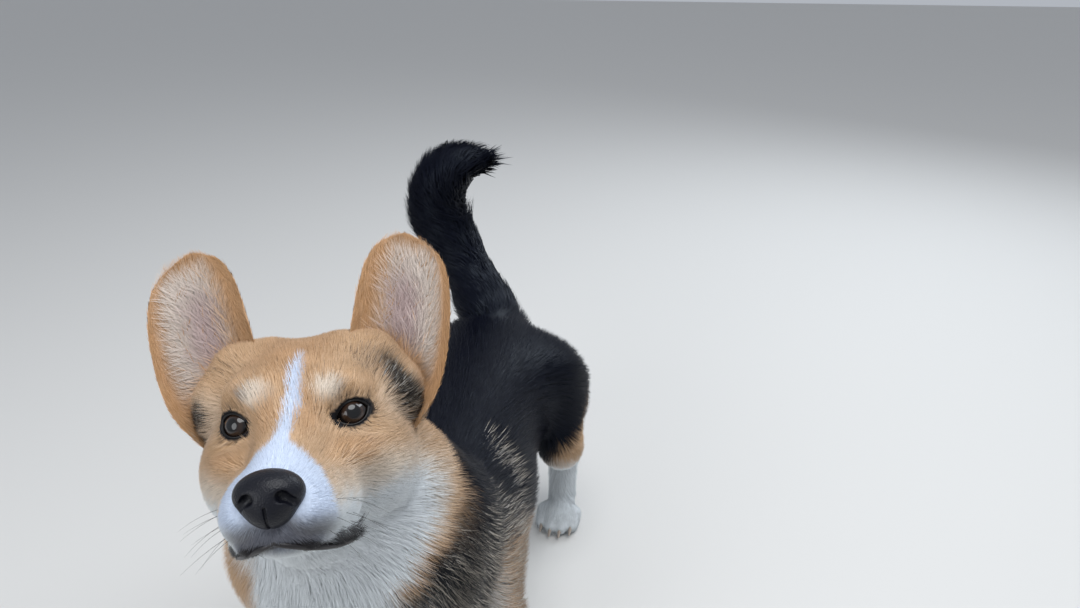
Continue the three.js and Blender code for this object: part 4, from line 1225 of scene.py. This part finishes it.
# The coat's pieces, each grown where its share of the skin is above nothing. Each gets a map for
# baking, and normals that follow the body more than the single tuft.
PATCH = 0.003
FORM_SHARE = 0.64
SEED_STEP = 7
HEAD_LINE = head_to_dog([(0, -95, -35), (0, 20, -15), (0, 110, -10)])
NECK_LINE = [(-14, -40, 345), (-4, 0, 270), (0, 40, 200)]
BODY_LINE = [(0, -120, 190), (0, 150, 195), (0, 420, 205)]
SPENT = (
    "root", "root_normal", "way", "form_normal", "across", "ridge", "lie", "skin_normal", "here",
    "hair_length", "hair_width", "hair_rise", "hair_free", "bare",
)
fur_tree = coat_tree()
fur_inputs = {item.name: item.identifier for item in fur_tree.interface.items_tree if item.in_out == "INPUT"}
short_tuft, long_tuft = tuft("short_tuft", SHORT_RINGS), tuft("long_tuft", LONG_RINGS)
face_fur, body_fur = coat_material("face_fur", 0.6), coat_material("body_fur", 0.5)
vertex_area = np.zeros(len(dog))
for poly in skin.data.polygons:
    vertex_area[list(poly.vertices)] += poly.area / len(poly.vertices)


def fur(name, share, count, line, material, spread, clump, pull, loft=1.0, stretch=1.0, shape=short_tuft):
    """Grows one piece of about count tufts where share allows, mapped about a line through its middle."""
    source = skin.copy()
    source.data = skin.data.copy()
    store(source.data, "here", share)
    bpy.context.scene.collection.objects.link(source)
    modifier = source.modifiers.new("coat", "NODES")
    modifier.node_group = fur_tree
    density = count * 1 / float(vertex_area @ share)
    for key, value in {
        "Tuft": shape, "Material": material, "Density": density, "Seed": len(name) * SEED_STEP,
        "Spread": spread, "Clump Size": clump, "Clump Pull": pull, "Loft": loft, "Stretch": stretch,
    }.items():
        modifier[fur_inputs[key]] = value
    graph = bpy.context.evaluated_depsgraph_get()
    mesh = bpy.data.meshes.new_from_object(source.evaluated_get(graph))
    bpy.data.objects.remove(source)
    made = add_object(name, mesh)
    roots = point_array(mesh.attributes["root"].data, "vector") / MM - SHIFT
    along = point_array(mesh.attributes["along"].data, "value", 1)[:, 0]
    across = point_array(mesh.attributes["across"].data, "value", 1)[:, 0]
    spots = bake_places(roots, line) + np.stack([across, along - 0.5], 1) * PATCH
    corners = np.empty(len(mesh.loops), np.int32)
    mesh.loops.foreach_get("vertex_index", corners)
    mesh.uv_layers.new(name="OFBake").data.foreach_set("uv", spots[corners].astype(np.float32).ravel())
    own = point_array(mesh.vertex_normals, "vector")
    form = point_array(mesh.attributes["form_normal"].data, "vector")
    mesh.shade_smooth()
    mesh.normals_split_custom_set_from_vertices(unit(form * FORM_SHARE + own * (1 - FORM_SHARE)))
    for spent in SPENT:
        mesh.attributes.remove(mesh.attributes[spent])
    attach(made, "root")


left, head_left = x > 0, hx > 0
clear_of_nose = smooth_step(0.98, 1.12, np.linalg.norm((head - (0, -72, -34)) / (21, 14.5, 15), axis=1))
face_here = on_head * (1 - on_ear) * (1 - bare) * smooth_step(1.5, 3.5, almond_gap) * clear_of_nose
muzzle_here = face_here * (muzzle_share > 0.35) * (1 - cheek_back)
cheek_here = face_here * (cheek_back >= 0.4)
brow_here = face_here * (muzzle_share <= 0.35) * (cheek_back < 0.4)
lip_here = lip_corner * on_head * (1 - on_ear)
ear_here = on_ear * (1 - 0.8 * bare)
in_ear_here = ear_inside * (ear_t < 0.66) * (ear_w > 0.2) * (ear_w < 0.72)
neck_here = (1 - on_head) * (on_neck >= 0.5)
bib_here = (1 - on_head) * (on_bib >= 0.5) * (on_neck < 0.5)
leg_here = (np.maximum(on_fore, on_hind) >= 0.5) * (on_paw < 0.5) * 1.0
paw_here = (on_paw >= 0.5) * (nz > -0.8) * 1.0
tail_here = (on_tail >= 0.5) * 1.0
rest_here = 1.0 * (leg_here + paw_here + tail_here + neck_here + bib_here + on_head <= 0.01)
thigh_here = rest_here * (on_thigh >= 0.5)
back_here = rest_here * (on_thigh < 0.5)

fur("muzzle_coat", muzzle_here, 25000, HEAD_LINE, face_fur, 0.25, 0.003, 0.2)
fur("cheek_coat", cheek_here, 40000, HEAD_LINE, face_fur, 0.4, 0.006, 0.25)
fur("lip_tufts", lip_here, 1400, HEAD_LINE, face_fur, 0.9, 0.004, 0.2, 2.0, 1.4)
fur("ear_tufts", in_ear_here, 2200, HEAD_LINE, face_fur, 0.9, 0.004, 0.3, 2.2, 1.7, long_tuft)
fur("ruff", neck_here, 42000, NECK_LINE, body_fur, 0.4, 0.010, 0.28)
fur("bib", bib_here, 22000, BODY_LINE, body_fur, 0.35, 0.010, 0.28)
fur("leg_coat", leg_here, 13000, BODY_LINE, body_fur, 0.3, 0.005, 0.25)
fur("paw_coat", paw_here, 9000, BODY_LINE, body_fur, 0.3, 0.004, 0.25)
fur("tail_coat", tail_here, 10000, tail_line[::8], body_fur, 0.35, 0.012, 0.5, shape=long_tuft)
for side, on_face, on_body, ear in (("left", head_left, left, 1), ("right", ~head_left, ~left, -1)):
    fur(f"face_coat_{side}", brow_here * on_face, 37000, HEAD_LINE, face_fur, 0.35, 0.004, 0.25)
    fur(f"{side}_ear_coat", ear_here * (ear_side == ear), 16000, HEAD_LINE, face_fur, 0.3, 0.003, 0.2)
    fur(f"{side}_side_coat", back_here * on_body, 28000, BODY_LINE, body_fur, 0.3, 0.008, 0.4)
    fur(f"{side}_thigh_coat", thigh_here * on_body, 13000, BODY_LINE, body_fur, 0.35, 0.01, 0.4)


# The eyes: moist dark balls with a pupil and a brown iris under the bulge of the cornea. Around each
# runs a rim of bare black skin, a tube laid along the edge of the lids.
IRIS_ENDS = ((0.001, 0.001, 0.0012, 1), (0.04, 0.03, 0.025, 1))
IRIS = (
    (0.27, (0.0015, 0.001, 0.001, 1)), (0.30, (0.012, 0.006, 0.004, 1)), (0.43, (0.030, 0.015, 0.009, 1)),
    (0.53, (0.014, 0.007, 0.005, 1)), (0.60, (0.003, 0.002, 0.002, 1)), (0.80, (0.008, 0.006, 0.005, 1)),
)
IRIS_REACH = 1.2
CORNEA_BULGE = 0.55
RIM_OUT = 0.85
RIM_RADIUS = 0.62
RIM_CORNER = 0.4
OFF_TUBE = (0.31, 0.22, 0.92)


def finish_material(name, colour, roughness, wet=0.0, specular=0.5):
    """A plain finish of one colour with a fine grain, under a wet layer of some strength."""
    settings = {"Specular IOR Level": specular, "Coat Weight": wet, "Coat Roughness": 0.05}
    made, shader = new_material(name, settings)
    w = Wires(made.node_tree)
    grain = w.noise(w.place(), 700.0, 3.0)
    w.join(w.toned((*colour, 1), w.line(grain, 0.6, 0.7)), shader.inputs["Base Color"])
    w.join(w.line(grain, 0.15, roughness - 0.07), shader.inputs["Roughness"])
    return made, w, shader


def eye_material():
    settings = {"Roughness": 0.35, "Specular IOR Level": 0.05, "Coat Weight": 1.0, "Coat Roughness": 0.02}
    made, shader = new_material("eye", settings)
    w = Wires(made.node_tree)
    iris = ramp(w, w.math("DIVIDE", w.painted("from_gaze"), IRIS_REACH), IRIS_ENDS, IRIS)
    around = {"Scale": 26.0, "Detail": 3.0, "W": w.painted("around")}
    rays = w.node("ShaderNodeTexNoise", around, noise_dimensions="1D").outputs[0]
    w.join(w.toned(iris.outputs[0], w.line(rays, 1.0, 0.5)), shader.inputs["Base Color"])
    return made


def add_piece(name, parts, material):
    """One piece from several (points, faces) in the head's axes, its faces turned outwards."""
    mesh = bpy.data.meshes.new(name)
    points, faces, start = [], [], 0
    for part_points, part_faces in parts:
        points.append(part_points)
        faces += [tuple(i + start for i in face) for face in part_faces]
        start += len(part_points)
    mesh.from_pydata(to_frame(head_to_dog(np.vstack(points))).tolist(), [], faces)
    facing = bmesh.new()
    facing.from_mesh(mesh)
    bmesh.ops.recalc_face_normals(facing, faces=facing.faces[:])
    facing.to_mesh(mesh)
    facing.free()
    mesh.shade_smooth()
    mesh.materials.append(material)
    made = add_object(name, mesh)
    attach(made, "root")
    return made


def swept(centres, radii, sides=10, closed=False):
    """A tube along points in the head's axes, closed on itself or capped at both ends."""
    centres = np.asarray(centres, float)
    ahead = unit(np.roll(centres, -1, 0) - np.roll(centres, 1, 0) if closed else np.gradient(centres, axis=0))
    first = unit(np.cross(ahead, OFF_TUBE))
    second = np.cross(ahead, first)
    turns = np.linspace(0, 2 * math.pi, sides, endpoint=False)
    stations = zip(centres, radii, first, second)
    rings = [c + r * (np.cos(t) * f + np.sin(t) * g) for c, r, f, g in stations for t in turns]
    return np.array(rings), ring_faces(len(centres), sides, closed, not closed)


def eye_ball(s, name, material):
    rings, sides = 48, 72
    across, up, ahead = eye_axes(s)
    points, from_gaze, around = [], [], []
    for i, a in enumerate(np.linspace(0, math.pi, rings + 1)):
        bulge = CORNEA_BULGE * smooth_step(0.62, 0.30, a)
        turns = [0] if i in (0, rings) else np.linspace(0, 2 * math.pi, sides, endpoint=False)
        for turn in turns:
            out = math.sin(a) * (math.cos(turn) * across + math.sin(turn) * up) + math.cos(a) * ahead
            points.append(on_side(s, EYE_AT) + out * (EYE_RADIUS + bulge))
            from_gaze.append(a)
            around.append(math.cos(turn) * 2 + math.sin(3 * turn) * 0.5)
    last = len(points) - 1
    base = last - sides
    faces = [(0, 1 + k, 1 + (k + 1) % sides) for k in range(sides)]
    faces += [(a + 1, d + 1, c + 1, b + 1) for a, b, c, d in ring_faces(rings - 1, sides)]
    faces += [(base + (k + 1) % sides, base + k, last) for k in range(sides)]
    made = add_piece(name, [(points, faces)], material)
    store(made.data, "from_gaze", from_gaze)
    store(made.data, "around", around)
    return made


def lid_line(s, count=64):
    """The opening's edge on the eye, corner to corner over the top and back below."""
    across, up, ahead = eye_axes(s)
    sweep = EYE_HALF * np.cos(np.linspace(0, math.pi, count, endpoint=False))
    upper = EYE_UPPER - UPPER_ARC + np.sqrt(np.maximum(UPPER_ARC**2 - sweep**2, 0))
    lower = LOWER_ARC - EYE_LOWER - np.sqrt(np.maximum(LOWER_ARC**2 - sweep**2, 0))
    u, v = np.concatenate([sweep, -sweep]), np.concatenate([upper, lower])
    w = np.sqrt(np.maximum((EYE_RADIUS + RIM_OUT) ** 2 - u**2 - v**2, 1.0))
    points = on_side(s, EYE_AT) + u[:, None] * across + v[:, None] * up + w[:, None] * ahead
    return points, RIM_RADIUS + RIM_CORNER * np.abs(u / EYE_HALF) ** 4


eye_paint = eye_material()
rim_paint, _, _ = finish_material("eye_rim", (0.006, 0.005, 0.005), 0.45, 0.1, 0.3)
for s, side in ((1, "left"), (-1, "right")):
    eyeball = eye_ball(s, f"{side}_eyeball", eye_paint)
    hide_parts(f"{side}_eye")
    add_piece(f"{side}_eye_rim", [swept(*lid_line(s), closed=True)], rim_paint)


# The nose: moist black leather, pebbled, with comma-shaped nostrils and a groove below them.
# It is one rounded form with the nostrils and the groove carved into it.
NOSE_STEP = 0.6
NOSTRIL = [(6.5, -92, -31), (9, -80, -32), (14, -78, -36), (20, -74, -39)]
GROOVE_HALF, GROOVE_DEPTH, GROOVE_TOP = 0.75, 1.6, -36


def nose_skin():
    form = blend(8, ball((0, -71, -31), (18.4, 13.6, 12.4)), ball((0, -71, -40), (10.5, 11.5, 9)))
    low, high = (-26.0, -92, -58), (26.0, -50, -12)
    x, y, z = open_grid(low, high, NOSE_STEP)
    field = form.value(x, y, z)
    for s in (1, -1):
        for part in chain(on_side(s, NOSTRIL), [3.4, 2.9, 2.1, 1.3]):
            field = carve(field, part.value(x, y, z), 1.2)
    groove = np.maximum(np.abs(x) - GROOVE_HALF, -GROOVE_DEPTH - field)
    field = carve(field, np.maximum(groove, z - GROOVE_TOP), 0.5)
    return surface_of(field, low, NOSE_STEP)


nose_paint, w, shader = finish_material("nose_leather", (0.006, 0.0065, 0.0105), 0.38, 0.05, 0.22)
pebble = w.node("ShaderNodeTexVoronoi", {"Vector": w.place(), "Scale": 950.0}).outputs["Distance"]
w.bump(shader, pebble, 0.5, 0.0004)
nose = add_piece("nose_leather", [nose_skin()], nose_paint)
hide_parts("nose")


# The lips: a thin dark moist edge of skin under the white of the muzzle, drooping to its corners.
# It is a tube from corner to corner that thins out at both ends.
LIP_EDGE = [
    (0, -71.5, -56.5), (8, -69, -59.5), (19, -57, -64.5), (27, -41, -68), (32, -24, -69.5), (35, -12, -67),
]
LIP_THICK, LIP_LEAST = 1.5, 0.1
half_edge = catmull(LIP_EDGE, np.linspace(0, 1, 26))
lip_centres = np.vstack([(half_edge * (-1, 1, 1))[:0:-1], half_edge])
lip_radii = LIP_THICK * np.sqrt(1.0001 - np.linspace(-1, 1, len(lip_centres)) ** 4) + LIP_LEAST
lip_paint, _, _ = finish_material("lip_skin", LIP_BLACK, 0.4, 0.1, 0.4)
add_piece("lip_edge", [swept(lip_centres, lip_radii)], lip_paint)


# The whiskers: dark springy hairs in rows on the muzzle's pads and a few over the eyes. Each is a thin
# tapered tube that bends with its weight.
WHISKER_RADIUS, BROW_RADIUS = 0.17, 0.1
BROW_DROOP = -0.1


def whisker(root, way, length, radius, droop):
    t = np.linspace(0, 1, 14)[:, None]
    line = root + unit(way) * (length * t) + np.array([0, 0, -droop * length]) * t**2
    return swept(line, radius * (1 - 0.85 * t[:, 0]), sides=5)


chance = np.random.default_rng(11)
whiskers = []
for s in (1, -1):
    for row in range(3):
        for i in range(3):
            root = on_side(s, (20 + 2.2 * i, -58 + 8 * i, -40 - 6 * row))
            out = s * (0.85 + 0.1 * chance.normal())
            way = (out, 0.15 + 0.16 * i, -0.12 - 0.14 * row + 0.08 * chance.normal())
            length, droop = chance.uniform(28, 48), chance.uniform(0.1, 0.4)
            whiskers.append(whisker(root, way, length, WHISKER_RADIUS, droop))
    for i in range(3):
        root = on_side(s, (20 + 4 * i, -10 + 2 * i, 20))
        way = (s * 0.35, -0.3, 1.0 - 0.2 * i)
        whiskers.append(whisker(root, way, chance.uniform(10, 15), BROW_RADIUS, BROW_DROOP))
whisker_paint, _, _ = finish_material("whisker", (0.02, 0.016, 0.014), 0.4)
add_piece("whiskers", whiskers, whisker_paint)


# The claws: blunt curved horn at the end of each toe.
# They keep their solids and get the look of horn.
horn, _, _ = finish_material("horn", (0.36, 0.30, 0.25), 0.4)
for ob in bpy.context.scene.objects:
    if "_claw_" in ob.name and ob.type == "MESH":
        ob.data.materials.clear()
        ob.data.materials.append(horn)
        ob.data.shade_smooth()
